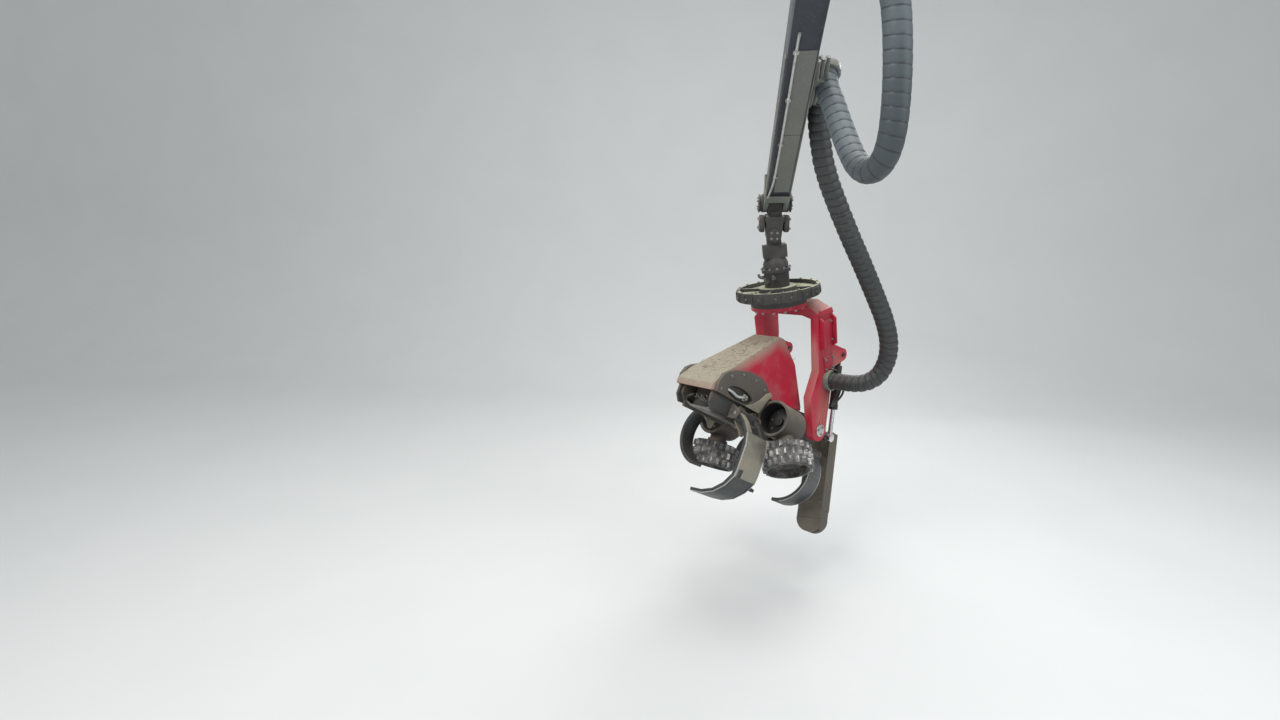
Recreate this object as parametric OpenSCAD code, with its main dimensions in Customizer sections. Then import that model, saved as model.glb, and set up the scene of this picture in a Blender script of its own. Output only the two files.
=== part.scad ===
// Harvester head hung by its link and rotator from the end of a boom extension.
// Row frame: X across the boom, Y outwards, Z up, origin on the extension's inner pin.
// The hung pieces have a frame of their own, and so has the head, with x towards the
// tree's crown, y to the near side and z towards the hood, zero between the rollers.

/* [Boom extension] */
// Length from the inner pin to the tip pin
ext_len = 1900; // [1500:10:2600]
// Slope of the extension below level, outwards
ext_slope = 31; // [20:1:45]
// Width of the box section
beam_w = 140; // [110:1:150]
// Depth of the box section at its inner end
beam_h = 200; // [160:1:240]
// Depth of the box section at the nose
beam_tip_h = 150; // [120:1:180]
// Wall of the box section
beam_wall = 10; // [6:0.5:14]
// Diameter of the inner pin's bore
inner_bore = 50; // [40:1:60]
// Width of the inner lug
inner_lug_w = 90; // [60:1:110]
// Diameter of the tip pin
tip_pin_d = 45; // [35:1:56]
// Gap of the fork at the tip
tip_fork_gap = 98; // [84:1:120]
// Thickness of a cheek of the fork
tip_cheek = 28; // [20:1:36]
// Diameter of a swing brake's disc
brake_d = 118; // [90:1:130]

/* [Link and rotator] */
// Distance between the link's two pins
link_len = 205; // [190:1:260]
// Diameter of the lower pin
cross_pin_d = 42; // [35:1:54]
// Swing of the link away from plumb at rest
swing_deg = 4.5; // [0:0.5:10]
// Lean of the rotator at rest
lean_deg = 7.5; // [0:0.5:12]
// Height from the lower pin to the middle of the guard disc
hanger_h = 385; // [340:1:460]
// Diameter of the rotator's body
rotator_d = 168; // [140:1:200]
// Diameter of the guard disc
guard_d = 560; // [460:5:640]
// Thickness of the guard disc's rim
guard_t = 70; // [40:1:90]
// Diameter of the flange under the guard disc
flange_d = 380; // [300:5:430]
// Heading of the tree's crown end, about the rotator
heading_deg = 227.6; // [180:0.2:270]

/* [Tilt bracket] */
// Height from the middle of the guard disc to the tilt pivot
bracket_h = 983; // [970:1:1100]
// Distance between the inner faces of the legs
leg_gap = 404; // [400:2:440]
// Thickness of a leg
leg_t = 62; // [45:1:80]
// Width of a leg at its foot
leg_foot_w = 156; // [130:1:160]
// Diameter of the tilt pins
tilt_pin_d = 60; // [45:1:75]
// Tilt of the head at rest, crown end up
tilt_deg = 37.5; // [20:0.5:60]

/* [Head frame] */
// Distance of the tilt pivot behind the rollers
pivot_back = 420; // [400:1:440]
// Height of the tilt pivot over the rollers
pivot_up = 387; // [375:1:400]
// Reach of the frame towards the crown end
frame_front = 590; // [560:1:620]
// Reach of the frame towards the butt end
frame_back = 692; // [670:1:720]
// Width of the frame over its side plates
frame_w = 260; // [250:2:262]
// Thickness of a side plate
side_plate = 16; // [10:1:22]
// Height of the guide plates over the rollers
guide_up = 190; // [186:1:194]
// Thickness of a guide plate
guide_t = 12; // [8:1:16]
// Width of the hood at its top
hood_top_w = 220; // [190:2:260]
// Width of the hood at its foot
hood_foot_w = 306; // [290:2:320]

/* [Roller arms] */
// Radius of a roller over its teeth
roller_r = 162; // [145:1:166]
// Height of a tooth
tooth_h = 16; // [8:1:24]
// Width of a roller
roller_w = 160; // [130:1:170]
// Teeth in one row
roller_teeth = 20; // [14:1:28]
// Lean of a roller's axis at the closed stop, lower end inwards
roller_lean = 10; // [0:1:16]
// Distance of an arm's pin from the middle
arm_pin_out = 105; // [104:1:107]
// Height of an arm's pin over the rollers
arm_pin_up = 295; // [292:1:298]
// Diameter of an arm's pin
arm_pin_d = 50; // [40:1:54]
// Distance of a roller outside the arm's pin, at the closed stop
roller_out = 80; // [74:1:100]
// Drop of a roller below the arm's pin, at the closed stop
roller_drop = 330; // [324:1:340]
// Outer radius of an arm's round housing
cup_r = 118; // [110:1:119]
// Wall of the housing
cup_wall = 14; // [8:1:20]
// Opening of the near arm at rest
near_open = 39; // [0:1:42]
// Opening of the far arm at rest
far_open = 4; // [0:1:42]

/* [Knives] */
// Radius of the near front knife's curve
front_near_r = 285; // [270:1:292]
// Radius of the far front knife's curve
front_far_r = 200; // [190:1:215]
// Radius of a rear knife's curve
rear_r = 230; // [215:1:245]
// Width of the near front knife
front_near_w = 212; // [160:1:230]
// Width of the far front knife
front_far_w = 116; // [90:1:140]
// Width of the near rear knife
rear_near_w = 160; // [120:1:165]
// Width of the far rear knife
rear_far_w = 104; // [80:1:106]
// Thickness of a knife
knife_t = 24; // [14:1:30]
// Radius of a knife's hub
knife_hub_r = 36; // [32:1:40]
// Diameter of a knife's pin
knife_pin_d = 36; // [28:1:40]
// Distance of a knife's pivot from the middle
knife_pivot_out = 186; // [184:1:192]
// Height of a knife's pivot over the rollers
knife_pivot_up = 235; // [228:1:240]

/* [Saw] */
// Length of the saw box
saw_len = 660; // [600:5:720]
// Width of the saw box
saw_w = 190; // [160:2:220]
// Thickness of the saw box
saw_t = 104; // [90:2:130]
// Length of the guide bar from its pivot
bar_len = 540; // [480:5:580]
// Width of the guide bar with its chain
bar_w = 90; // [70:1:110]

/* [Hidden] */
$fn = 48;
seat = 0.3;
pin_fit = 0.05;
tip = [0, ext_len * cos(ext_slope), -ext_len * sin(ext_slope)];
nose_len = 190;
lug_r = 75;
beam_start = 130;
beam_end = ext_len - nose_len;
link_eye_w = tip_fork_gap - 6;
eye_r = 52;

near = 1;
far = -1;
hose_d = 115;
hose_gap = 1.5;

// Frames

module at_boom() { rotate([-ext_slope, 0, 0]) children(); }
module at_link() { translate(tip) rotate([swing_deg, 0, 0]) children(); }
module at_hanger() { at_link() translate([0, 0, -link_len]) rotate([0, -lean_deg, 0]) children(); }
module at_disc() {
    at_hanger() translate([0, 0, -hanger_h]) rotate([0, 0, heading_deg]) children();
}
module at_pivot() { at_disc() translate([0, 0, -bracket_h]) children(); }
module at_head() {
    at_pivot() rotate([0, -tilt_deg, 0]) translate([pivot_back, 0, -pivot_up]) children();
}

// Shapes

// A cylinder along X from x0 to x1
module rod_x(r, x0, x1) { translate([x0, 0, 0]) rotate([0, 90, 0]) cylinder(r = r, h = x1 - x0); }
// A cylinder along Y from y0 to y1
module rod_y(r, y0, y1) { translate([0, y0, 0]) rotate([-90, 0, 0]) cylinder(r = r, h = y1 - y0); }
// An outline in the YZ plane, extruded from x0 to x1
module slab_x(x0, x1) { translate([x0, 0, 0]) rotate([90, 0, 90]) linear_extrude(x1 - x0) children(); }
// An outline in the XZ plane, extruded from y0 to y1
module slab_y(y0, y1) { translate([0, y1, 0]) rotate([90, 0, 0]) linear_extrude(y1 - y0) children(); }
// A box from one corner to the other
module box(a, b) { translate(a) cube(b - a); }
// A copy on the far side
module on_side(s) { if (s == near) children(); else mirror([0, 1, 0]) children(); }

// Boom extension

module boom_beam() color([0.13, 0.15, 0.18]) at_boom() difference() {
    union() {
        slab_x(-beam_w / 2, beam_w / 2) polygon([
            [beam_start, -beam_h * 0.5], [beam_end, -beam_tip_h * 0.5],
            [beam_end, beam_tip_h * 0.5], [beam_start, beam_h * 0.5]]);
        slab_x(-inner_lug_w / 2, inner_lug_w / 2) {
            circle(r = lug_r);
            polygon([[0, -lug_r], [beam_start + 1, -beam_h * 0.42],
                [beam_start + 1, beam_h * 0.42], [0, lug_r]]);
        }
    }
    slab_x(-beam_w / 2 + beam_wall, beam_w / 2 - beam_wall) polygon([
        [beam_start + 14, -beam_h * 0.5 + beam_wall], [beam_end - 14, -beam_tip_h * 0.5 + beam_wall],
        [beam_end - 14, beam_tip_h * 0.5 - beam_wall], [beam_start + 14, beam_h * 0.5 - beam_wall]]);
    rod_x(inner_bore / 2, -inner_lug_w, inner_lug_w);
}

nose_w = tip_fork_gap + 2 * tip_cheek;
module boom_nose() color([0.36, 0.38, 0.34]) at_boom() difference() {
    slab_x(-nose_w / 2, nose_w / 2) {
        translate([ext_len, 0]) circle(r = 58);
        polygon([[beam_end, -beam_tip_h * 0.5 - 6], [beam_end + 60, -beam_tip_h * 0.5 - 6],
            [ext_len, -58], [ext_len, 58],
            [beam_end + 60, beam_tip_h * 0.5 + 6], [beam_end, beam_tip_h * 0.5 + 6]]);
    }
    box([-tip_fork_gap / 2, ext_len - 118, -200], [tip_fork_gap / 2, ext_len + 100, 200]);
    translate([0, ext_len, 0]) rod_x(tip_pin_d / 2 + pin_fit, -nose_w, nose_w);
}

strip_w = 26;
module boom_edge_strips() color([0.62, 0.63, 0.62]) at_boom() for (s = [-1, 1])
    slab_x(s > 0 ? beam_w / 2 : -beam_w / 2 - 8, s > 0 ? beam_w / 2 + 8 : -beam_w / 2)
        polygon([[620, -beam_h * 0.37], [beam_end, -beam_tip_h * 0.5],
            [beam_end, -beam_tip_h * 0.5 + strip_w], [620, -beam_h * 0.37 + strip_w]]);

brake_t = 30;
module swing_brakes() color([0.45, 0.46, 0.46]) at_boom() translate([0, ext_len, 0]) for (s = [-1, 1])
    mirror([s < 0 ? 1 : 0, 0, 0]) for (k = [0 : 2])
        rod_x(brake_d / 2 - (k % 2) * 7, nose_w / 2 + k * brake_t / 3, nose_w / 2 + (k + 1) * brake_t / 3);

module tip_pin() color([0.7, 0.7, 0.7]) at_link()
    rod_x(tip_pin_d / 2, -nose_w / 2 + 2, nose_w / 2 - 2);

// Link and rotator

module link() color([0.16, 0.17, 0.17]) at_link() difference() {
    union() {
        rod_x(eye_r, -link_eye_w / 2, link_eye_w / 2);
        box([-link_eye_w / 2, -44, -88], [link_eye_w / 2, 44, 0]);
        box([-62, -84, -118], [62, 84, -84]);
        for (s = [-1, 1]) translate([0, 0, -link_len]) hull() {
            rod_y(48, s > 0 ? 54 : -84, s > 0 ? 84 : -54);
            translate([0, 0, 90]) box([-56, s > 0 ? 54 : -84, 0], [56, s > 0 ? 84 : -54, 10]);
        }
    }
    rod_x(tip_pin_d / 2 + pin_fit, -100, 100);
    translate([0, 0, -link_len]) rod_y(cross_pin_d / 2 + pin_fit, -120, 120);
}

module cross_pin() color([0.7, 0.7, 0.7]) at_hanger() rod_y(cross_pin_d / 2, -83, 83);

module lean_brakes() color([0.4, 0.41, 0.41]) at_link() translate([0, 0, -link_len]) for (s = [-1, 1])
    mirror([0, s < 0 ? 1 : 0, 0]) for (k = [0 : 1])
        rod_y(46 - k * 8, 84 + k * 10, 94 + k * 10);

module rotator() color([0.2, 0.2, 0.2]) at_hanger() difference() {
    union() {
        rod_y(46, -51, 51);
        box([-46, -51, -70], [46, 51, 0]);
        box([-78, -66, -150], [78, 66, -66]);
        translate([0, 0, -190]) cylinder(r1 = rotator_d / 2, r2 = rotator_d / 2 - 18, h = 44, $fn = 64);
        translate([0, 0, -hanger_h + guard_t / 2 + seat]) 
            cylinder(d = rotator_d, h = hanger_h - guard_t / 2 - seat - 190, $fn = 64);
        translate([0, 0, -250]) cylinder(d = rotator_d + 26, h = 24, $fn = 64);
    }
    rod_y(cross_pin_d / 2 + pin_fit, -120, 120);
}

bolts = 16;
module guard_disc() color([0.28, 0.28, 0.27]) at_disc() difference() {
    union() {
        translate([0, 0, -guard_t / 2]) cylinder(d = guard_d, h = guard_t, $fn = 96);
        for (k = [0 : bolts - 1]) rotate([0, 0, (k + 0.5) * 360 / bolts])
            translate([guard_d / 2 - 6, 0, -12]) rod_x(13, 0, 14);
    }
    translate([0, 0, guard_t / 2 - 30]) difference() {
        cylinder(d = guard_d - 44, h = 40, $fn = 96);
        translate([0, 0, -1]) cylinder(d = rotator_d + 90, h = 60, $fn = 64);
    }
}

module rotator_flange() color([0.15, 0.15, 0.16]) at_disc()
    translate([0, 0, -guard_t / 2 - 50]) cylinder(d = flange_d, h = 50, $fn = 80);

// Tilt bracket

leg_in = leg_gap / 2;
leg_out = leg_in + leg_t;
beam_top = bracket_h - guard_t / 2 - 50;
barrel_anchor = [-340, 460];
barrel_plane = leg_in + leg_t / 2;
module leg_2d() {
    circle(r = leg_foot_w / 2);
    polygon([[-leg_foot_w / 2, 0], [leg_foot_w / 2, 0], [leg_foot_w / 2 - 8, 260],
        [-40, 420], [-70, beam_top - 116], [-240, beam_top - 116], [-232, 620],
        [-175, 300]]);
}
module tilt_bracket() color([0.62, 0.07, 0.10]) at_pivot() difference() {
    union() {
        for (s = [near, far]) on_side(s) slab_y(leg_in, leg_out) leg_2d();
        for (s = [near, far], y = [leg_in, leg_out - 12]) on_side(s) slab_y(y, y + 12) {
            translate(barrel_anchor) circle(r = 44);
            polygon([[-340, 416], [-180, 400], [-190, 590], [-345, 504]]);
        }
        slab_x(-240, -70) polygon([
            [-leg_out, beam_top - 118], [-leg_in, beam_top - 118], [-leg_in + 70, beam_top - 96],
            [leg_in - 70, beam_top - 96], [leg_in, beam_top - 118], [leg_out, beam_top - 118],
            [leg_out, beam_top - 80], [150, beam_top - 16], [-150, beam_top - 16], [-leg_out, beam_top - 80]]);
        translate([0, 0, beam_top - 26]) cylinder(r = 190, h = 26, $fn = 64);
    }
    rod_y(tilt_pin_d / 2 + pin_fit, -leg_out - 5, leg_out + 5);
    translate([barrel_anchor[0], 0, barrel_anchor[1]]) rod_y(16 + pin_fit, -leg_out - 5, leg_out + 5);
}

module tilt_pins() color([0.6, 0.6, 0.58]) at_pivot() {
    rod_y(tilt_pin_d / 2, -leg_out - 8, leg_out + 8);
    for (s = [near, far]) on_side(s) rod_y(tilt_pin_d / 2 + 14, leg_out + seat, leg_out + 10);
}

clamp_at = [-140, 330];
clamp_r = hose_d / 2 + 15;
module hose_clamp() color([0.5, 0.5, 0.5]) at_pivot() translate([clamp_at[0], 0, clamp_at[1]]) difference() {
    rod_y(clamp_r, leg_out, leg_out + 36);
    rod_y(hose_d / 2 + hose_gap, leg_out + 16, leg_out + 40);
}

// Tilt cylinders, opened at the rods' eyes

rod_eye = [-200, 0];
eye_pos = [rod_eye[0] * cos(tilt_deg), rod_eye[0] * sin(tilt_deg)];
cyl_vec = eye_pos - barrel_anchor;
cyl_len = norm(cyl_vec);
cyl_ang = atan2(-cyl_vec[0], -cyl_vec[1]);
barrel_r = 29;
barrel_len = 400;
barrel_top = 84;
rod_r = 16;
rod_len = 350;
eye_half = 18;
module at_cylinder() {
    at_pivot() translate([barrel_anchor[0], 0, barrel_anchor[1]]) rotate([0, cyl_ang, 0]) children();
}
module tilt_barrel(s) color([0.12, 0.12, 0.12]) at_cylinder() on_side(s) difference() {
    union() {
        translate([0, barrel_plane, 0]) {
            rod_y(32, -eye_half, eye_half);
            translate([0, 0, -barrel_top - 1]) cylinder(r = eye_half - 1, h = barrel_top - 20);
            translate([0, 0, -barrel_len]) cylinder(r = barrel_r, h = barrel_len - barrel_top);
            translate([0, 0, -barrel_len]) cylinder(r = barrel_r + 3, h = 34);
        }
        rod_y(rod_r, leg_in - 4, leg_out + 4);
    }
    translate([0, barrel_plane, -barrel_len - 1]) cylinder(r = rod_r + pin_fit, h = barrel_len - 100);
}
module tilt_rod(s) color([0.75, 0.76, 0.78]) at_cylinder() on_side(s) translate([0, barrel_plane, 0]) {
    translate([0, 0, -cyl_len + 24]) cylinder(r = rod_r, h = rod_len);
    translate([0, 0, -cyl_len]) rod_y(30, -eye_half, eye_half);
}

// Head frame and hood

frame_out = frame_w / 2;
frame_in = frame_out - side_plate;
frame_foot = guide_up - 14;
// The zone between the front and the rear knives is left free for the roller arms
bay_back = -176;
bay_front = 130;
bay_up = 350;
wall_t = 16;
keel_out = 55;
keel_in = 47;
tube_r = 58;
// The frame's top line, on which the hood stands
function deck() = [[frame_front, 312], [470, 348], [120, 425], [-300, 470]];
function side_outline() = concat([[frame_front - 45, frame_foot + 29], [frame_front, frame_foot + 74]], deck(),
    [[-430, 480], [-570, 460], [-frame_back, 400], [-frame_back, frame_foot + 14],
    [-frame_back + 72, frame_foot], [frame_front - 50, frame_foot]]);
// The bores of the tilt axle and of the pins of arms and knives
module frame_bores() {
    translate([-pivot_back, 0, pivot_up]) rod_y(tilt_pin_d / 2 + pin_fit, -leg_in, leg_in);
    for (s = [near, far]) on_side(s) {
        translate([0, arm_pin_out, arm_pin_up])
            rod_x(arm_pin_d / 2 + pin_fit, bay_back - 24, bay_front + 24);
        translate([0, knife_pivot_out, knife_pivot_up])
            rod_x(knife_pin_d / 2 + pin_fit, -frame_back, frame_front);
    }
}
// A side plate with its knife lugs, the boss of the tilt rod and its end of the tilt axle's tube
module side_plate(side) color([0.30, 0.29, 0.28]) at_head() difference() {
    on_side(side) {
        slab_y(frame_in, frame_out) difference() {
            polygon(side_outline());
            translate([bay_back, 0]) square([bay_front - bay_back, bay_up]);
        }
        translate([-pivot_back, 0, pivot_up]) slab_y(frame_in, leg_in - 3) circle(r = tube_r);
        translate([-pivot_back + rod_eye[0], 0, pivot_up])
            slab_y(frame_out - 4, barrel_plane - eye_half - seat) circle(r = 34);
        for (k = knives) if (k[0] == side) for (x = [k[1] - hub_gap - lug_t, k[1] + k[2] + hub_gap])
            slab_x(x, x + lug_t) knife_lug_2d();
    }
    frame_bores();
}
module side_plate_near() side_plate(near);
module side_plate_far() side_plate(far);
// What joins the side plates
module cross_walls() color([0.30, 0.29, 0.28]) at_head() for (x = [-frame_back, -300, 300])
    box([x, -frame_in, 215], [x + wall_t, frame_in, 340]);
module bay_wall() color([0.30, 0.29, 0.28]) at_head() difference() {
    slab_x(bay_back - 14, bay_back) bay_wall_2d(frame_in);
    box([bay_back - 20, -36, guide_up + guide_t], [bay_back + 10, 36, 330]);
    frame_bores();
}
// The roof over the rollers, with the rails that carry the guide plates
module bay_roof() color([0.30, 0.29, 0.28]) at_head() slab_x(bay_back, bay_front) polygon([
    [-frame_in, 352], [-frame_in, 344], [-keel_out, 344], [-keel_out, guide_up], [-keel_in, guide_up],
    [-keel_in, 344], [keel_in, 344], [keel_in, guide_up], [keel_out, guide_up], [keel_out, 344],
    [frame_in, 344], [frame_in, 352]]);
module axle_tube() color([0.30, 0.29, 0.28]) at_head() difference() {
    translate([-pivot_back, 0, pivot_up]) rod_y(tube_r, -frame_in, frame_in);
    frame_bores();
}
// A wall across the frame at an end of the roller bay, with the eyes of the arms' pins
module bay_wall_2d(half) intersection() {
    union() {
        polygon([[-frame_out, 345], [-frame_out, 300], [-62, 222], [-16, frame_foot], [16, frame_foot], [62, 222],
            [frame_out, 300], [frame_out, 345]]);
        for (y = [-arm_pin_out, arm_pin_out]) translate([y, arm_pin_up]) circle(r = 42);
    }
    translate([-half, 0]) square([2 * half, bay_up]);
}
module knife_lug_2d() {
    translate([knife_pivot_out, knife_pivot_up]) circle(r = knife_hub_r + 2);
    polygon([[frame_out - 4, 196], [knife_pivot_out, knife_pivot_up - knife_hub_r - 2],
        [knife_pivot_out, knife_pivot_up + knife_hub_r + 2], [frame_out - 4, 300]]);
}

// Columns: start and end along the head, and half the width
guides = [[-frame_back + wall_t, -300, frame_in], [-300 + wall_t, bay_back - 14, frame_in], [bay_back, -90, keel_in],
    [90, bay_front, keel_in], [bay_front + 14, 300, frame_in], [300 + wall_t, frame_front - 50, frame_in]];
module guide_plates() color([0.5, 0.49, 0.45]) at_head() for (g = guides)
    slab_x(g[0], g[1]) intersection() {
        polygon([[-130, guide_up + 30], [-70, guide_up], [70, guide_up], [130, guide_up + 30],
            [130, guide_up + 30 + guide_t], [70, guide_up + guide_t], [-70, guide_up + guide_t],
            [-130, guide_up + 30 + guide_t]]);
        translate([-g[2], 0]) square([2 * g[2], 2 * guide_up]);
    }

hood_nose = 640;
hood_peak = 858;
hood_base = 290;
module hood() color([0.65, 0.08, 0.12]) at_head() intersection() {
    slab_y(-hood_foot_w / 2, hood_foot_w / 2) polygon(concat([[hood_nose, 340], [hood_nose, 297]], deck(),
        [[-290, 500], [-110, 745], [80, hood_peak], [130, hood_peak - 6], [560, 440]]));
    slab_x(-frame_back, hood_nose) polygon([[-hood_foot_w / 2, hood_base], [hood_foot_w / 2, hood_base],
        [hood_foot_w / 2, 430], [hood_top_w / 2, hood_peak], [-hood_top_w / 2, hood_peak], [-hood_foot_w / 2, 430]]);
}

module keel_plate() color([0.55, 0.52, 0.46]) at_head() difference() {
    slab_x(bay_front, bay_front + 14) bay_wall_2d(frame_in);
    for (y = [-arm_pin_out, arm_pin_out]) translate([0, y, arm_pin_up])
        rod_x(arm_pin_d / 2 + pin_fit, bay_front - 1, bay_front + 20);
}

module valve_block() color([0.3, 0.3, 0.3]) at_head()
    box([340, -66, guide_up + guide_t], [520, 66, guide_up + 130]);

module arm_pins() color([0.55, 0.55, 0.55]) at_head() for (s = [near, far]) on_side(s)
    translate([0, arm_pin_out, arm_pin_up]) rod_x(arm_pin_d / 2, bay_back - 20, bay_front + 20);

module knife_pins() color([0.55, 0.55, 0.55]) at_head() for (k = knives) on_side(k[0])
    translate([0, knife_pivot_out, knife_pivot_up])
        rod_x(knife_pin_d / 2, k[1] - hub_gap - lug_t - 4, k[1] + k[2] + hub_gap + lug_t + 4);

// Saw

saw_foot = [-frame_back - saw_t / 2, 110, 330];
saw_lean = 12;
saw_slot = 16;
saw_pivot_up = 20;
module at_saw() { at_head() translate(saw_foot) rotate([saw_lean, 0, 0]) children(); }
module saw_space() box([-saw_slot, -saw_w, -saw_len], [saw_slot, saw_w / 2 - 28, 150]);
module saw_box() color([0.36, 0.34, 0.33]) at_saw() difference() {
    slab_x(-saw_t / 2, saw_t / 2) {
        translate([0, saw_pivot_up]) circle(r = saw_w / 2, $fn = 64);
        translate([-saw_w / 2, saw_pivot_up - saw_len + saw_w / 2]) square([saw_w, saw_len - saw_w / 2]);
    }
    saw_space();
}
module saw_cap() color([0.3, 0.28, 0.27]) at_saw() difference() {
    translate([0, 0, saw_pivot_up - saw_len + saw_w / 2]) slab_x(-saw_t / 2, saw_t / 2) difference() {
        circle(r = saw_w / 2, $fn = 64);
        translate([-saw_w, 0]) square([2 * saw_w, saw_w]);
    }
    saw_space();
}
module saw_motor() color([0.2, 0.2, 0.2]) at_saw() translate([0, 0, saw_pivot_up])
    rod_x(52, -saw_t / 2 - 60, -saw_t / 2);

module bar_2d(r) {
    translate([0, saw_pivot_up]) circle(r = r);
    translate([-r, saw_pivot_up - bar_len]) square([2 * r, bar_len]);
    translate([0, saw_pivot_up - bar_len]) circle(r = r);
}
chain_w = 8;
module saw_bar() color([0.6, 0.6, 0.6]) at_saw() {
    slab_x(-4, 4) bar_2d(bar_w / 2 - chain_w);
    translate([0, 0, saw_pivot_up]) rod_x(30, -saw_slot + seat, saw_slot - seat);
}
module saw_chain() color([0.4, 0.4, 0.4]) at_saw() slab_x(-5, 5) difference() {
    bar_2d(bar_w / 2);
    bar_2d(bar_w / 2 - chain_w);
}

// Knives

hub_gap = 2;
lug_t = 14;
// Columns: side, start along the head, width, radius of the curve, its first angle and its sweep
knives = [[near, 184, front_near_w, front_near_r, 60, 150], [far, 184, front_far_w, front_far_r, 60, 140],
    [near, -430 - rear_near_w, rear_near_w, rear_r, 50, 135], [far, -396, rear_far_w, rear_r, 50, 130]];
module sector_2d(r, a0, a1) {
    n = 8;
    polygon(concat([[0, 0]], [for (k = [0 : n]) let (a = a0 + (a1 - a0) * k / n) [r * cos(a), r * sin(a)]]));
}
// A curved blade that hangs from its pivot at the origin
module knife_2d(r, start, sweep) {
    translate([-r * cos(start), -r * sin(start)]) intersection() {
        difference() {
            circle(r = r + knife_t / 2, $fn = 128);
            circle(r = r - knife_t / 2, $fn = 128);
        }
        sector_2d(2 * r, start - sweep, start);
    }
}
module knife(k) color([0.45, 0.45, 0.42]) at_head() on_side(k[0])
    translate([k[1], knife_pivot_out, knife_pivot_up]) difference() {
        union() {
            rod_x(knife_hub_r, 0, k[2]);
            slab_x(0, k[2]) knife_2d(k[3], k[4], k[5]);
        }
        rod_x(knife_pin_d / 2 + pin_fit, -1, k[2] + 1);
    }
module front_knife_near() knife(knives[0]);
module front_knife_far() knife(knives[1]);
module rear_knife_near() knife(knives[2]);
module rear_knife_far() knife(knives[3]);

// Roller arms, measured in a frame on the arm's pin that turns with the arm

cup_at = [121, -85];
cup_back = -100;
cup_front = 110;
cup_floor = 0;
arm_hub_r = 42;
motor_r = 48;
web_half = 20;
flange_gap = 6;
module at_arm(s) {
    at_head() on_side(s) translate([0, arm_pin_out, arm_pin_up]) rotate([s == near ? near_open : far_open, 0, 0])
        children();
}
module at_roller(s) { at_arm(s) translate([0, roller_out, -roller_drop]) rotate([-roller_lean, 0, 0]) children(); }
module roller_arm(s) color([0.33, 0.31, 0.30]) difference() {
    union() {
        at_arm(s) {
            rod_x(arm_hub_r, bay_back + 4, bay_front - 4);
            translate([0, cup_at[0], cup_at[1]]) rod_x(cup_r, cup_back, cup_front);
            slab_x(-150, cup_front) polygon([[0, 30], [50, 0], [50, -95], [0, -30]]);
        }
        at_roller(s) {
            translate([0, 0, roller_w / 2 + flange_gap]) cylinder(r = 70, h = 24);
            translate([0, 0, roller_w / 2 + flange_gap + 10]) cylinder(r = 58, h = 120);
        }
    }
    at_arm(s) {
        rod_x(arm_pin_d / 2 + pin_fit, -200, 200);
        translate([0, cup_at[0], cup_at[1]]) rod_x(cup_r - cup_wall, cup_floor, cup_front + 10);
    }
    at_roller(s) translate([0, 0, -roller_w]) cylinder(r = roller_r + 6, h = 1.5 * roller_w + flange_gap);
}
module roller_motor(s) color([0.2, 0.2, 0.2]) at_roller(s) translate([0, 0, web_half + seat])
    cylinder(r = motor_r, h = roller_w / 2 + flange_gap - web_half - seat);

function gear_points(n, r0, r1) = [for (k = [0 : n - 1]) for (q = [[-0.3, r0], [-0.16, r1], [0.16, r1], [0.3, r0]])
    let (a = (k + q[0]) * 360 / n) [q[1] * cos(a), q[1] * sin(a)]];
module roller(s) color([0.26, 0.26, 0.26]) at_roller(s) difference() {
    union() {
        translate([0, 0, -roller_w / 2]) cylinder(r = roller_r - tooth_h, h = roller_w);
        for (row = [0 : 2]) rotate([0, 0, row * 180 / roller_teeth])
            translate([0, 0, -roller_w / 2 + row * roller_w / 3 + 6]) linear_extrude(roller_w / 3 - 12)
                polygon(gear_points(roller_teeth, roller_r - tooth_h - 1, roller_r));
    }
    translate([0, 0, web_half]) cylinder(r = motor_r + 8, h = roller_w);
    translate([0, 0, -roller_w]) cylinder(r = roller_r - tooth_h - 16, h = roller_w - web_half);
}
module roller_near() roller(near);
module roller_far() roller(far);
module roller_arm_near() roller_arm(near);
module roller_arm_far() roller_arm(far);
module roller_motor_near() roller_motor(near);
module roller_motor_far() roller_motor(far);
module tilt_barrel_near() tilt_barrel(near);
module tilt_barrel_far() tilt_barrel(far);
module tilt_rod_near() tilt_rod(near);
module tilt_rod_far() tilt_rod(far);

// Measuring wheel

measure_at = [-240, 262];
wheel_at = [0, 240];
wheel_r = 66;
module measuring_arm() color([0.4, 0.4, 0.4]) at_head() {
    translate([measure_at[0], 0, measure_at[1]]) rod_y(14, -frame_in + seat, frame_in - seat);
    for (s = [near, far]) on_side(s) slab_y(16, 26) {
        translate(measure_at) circle(r = 20);
        translate(wheel_at) circle(r = 18);
        polygon([measure_at + [0, -13], wheel_at + [0, -13], wheel_at + [0, 13], measure_at + [0, 13]]);
    }
    translate([wheel_at[0], 0, wheel_at[1]]) rod_y(10, -26, 26);
}
module measuring_wheel() color([0.5, 0.5, 0.5]) at_head() translate([wheel_at[0], 0, wheel_at[1]]) difference() {
    rod_y(wheel_r, -12, 12);
    rod_y(10 + pin_fit, -13, 13);
}

// Hoses

function unit(v) = v / norm(v);
function route_dir(p, i) = unit(p[min(i + 1, len(p) - 1)] - p[max(i - 1, 0)]);
function ring_at(c, d, r, n) = let (side = unit(cross(d, [0.31, -0.62, 0.72])), up = cross(d, side))
    [for (k = [0 : n - 1]) c + r * (cos(k * 360 / n) * side + sin(k * 360 / n) * up)];
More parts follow.
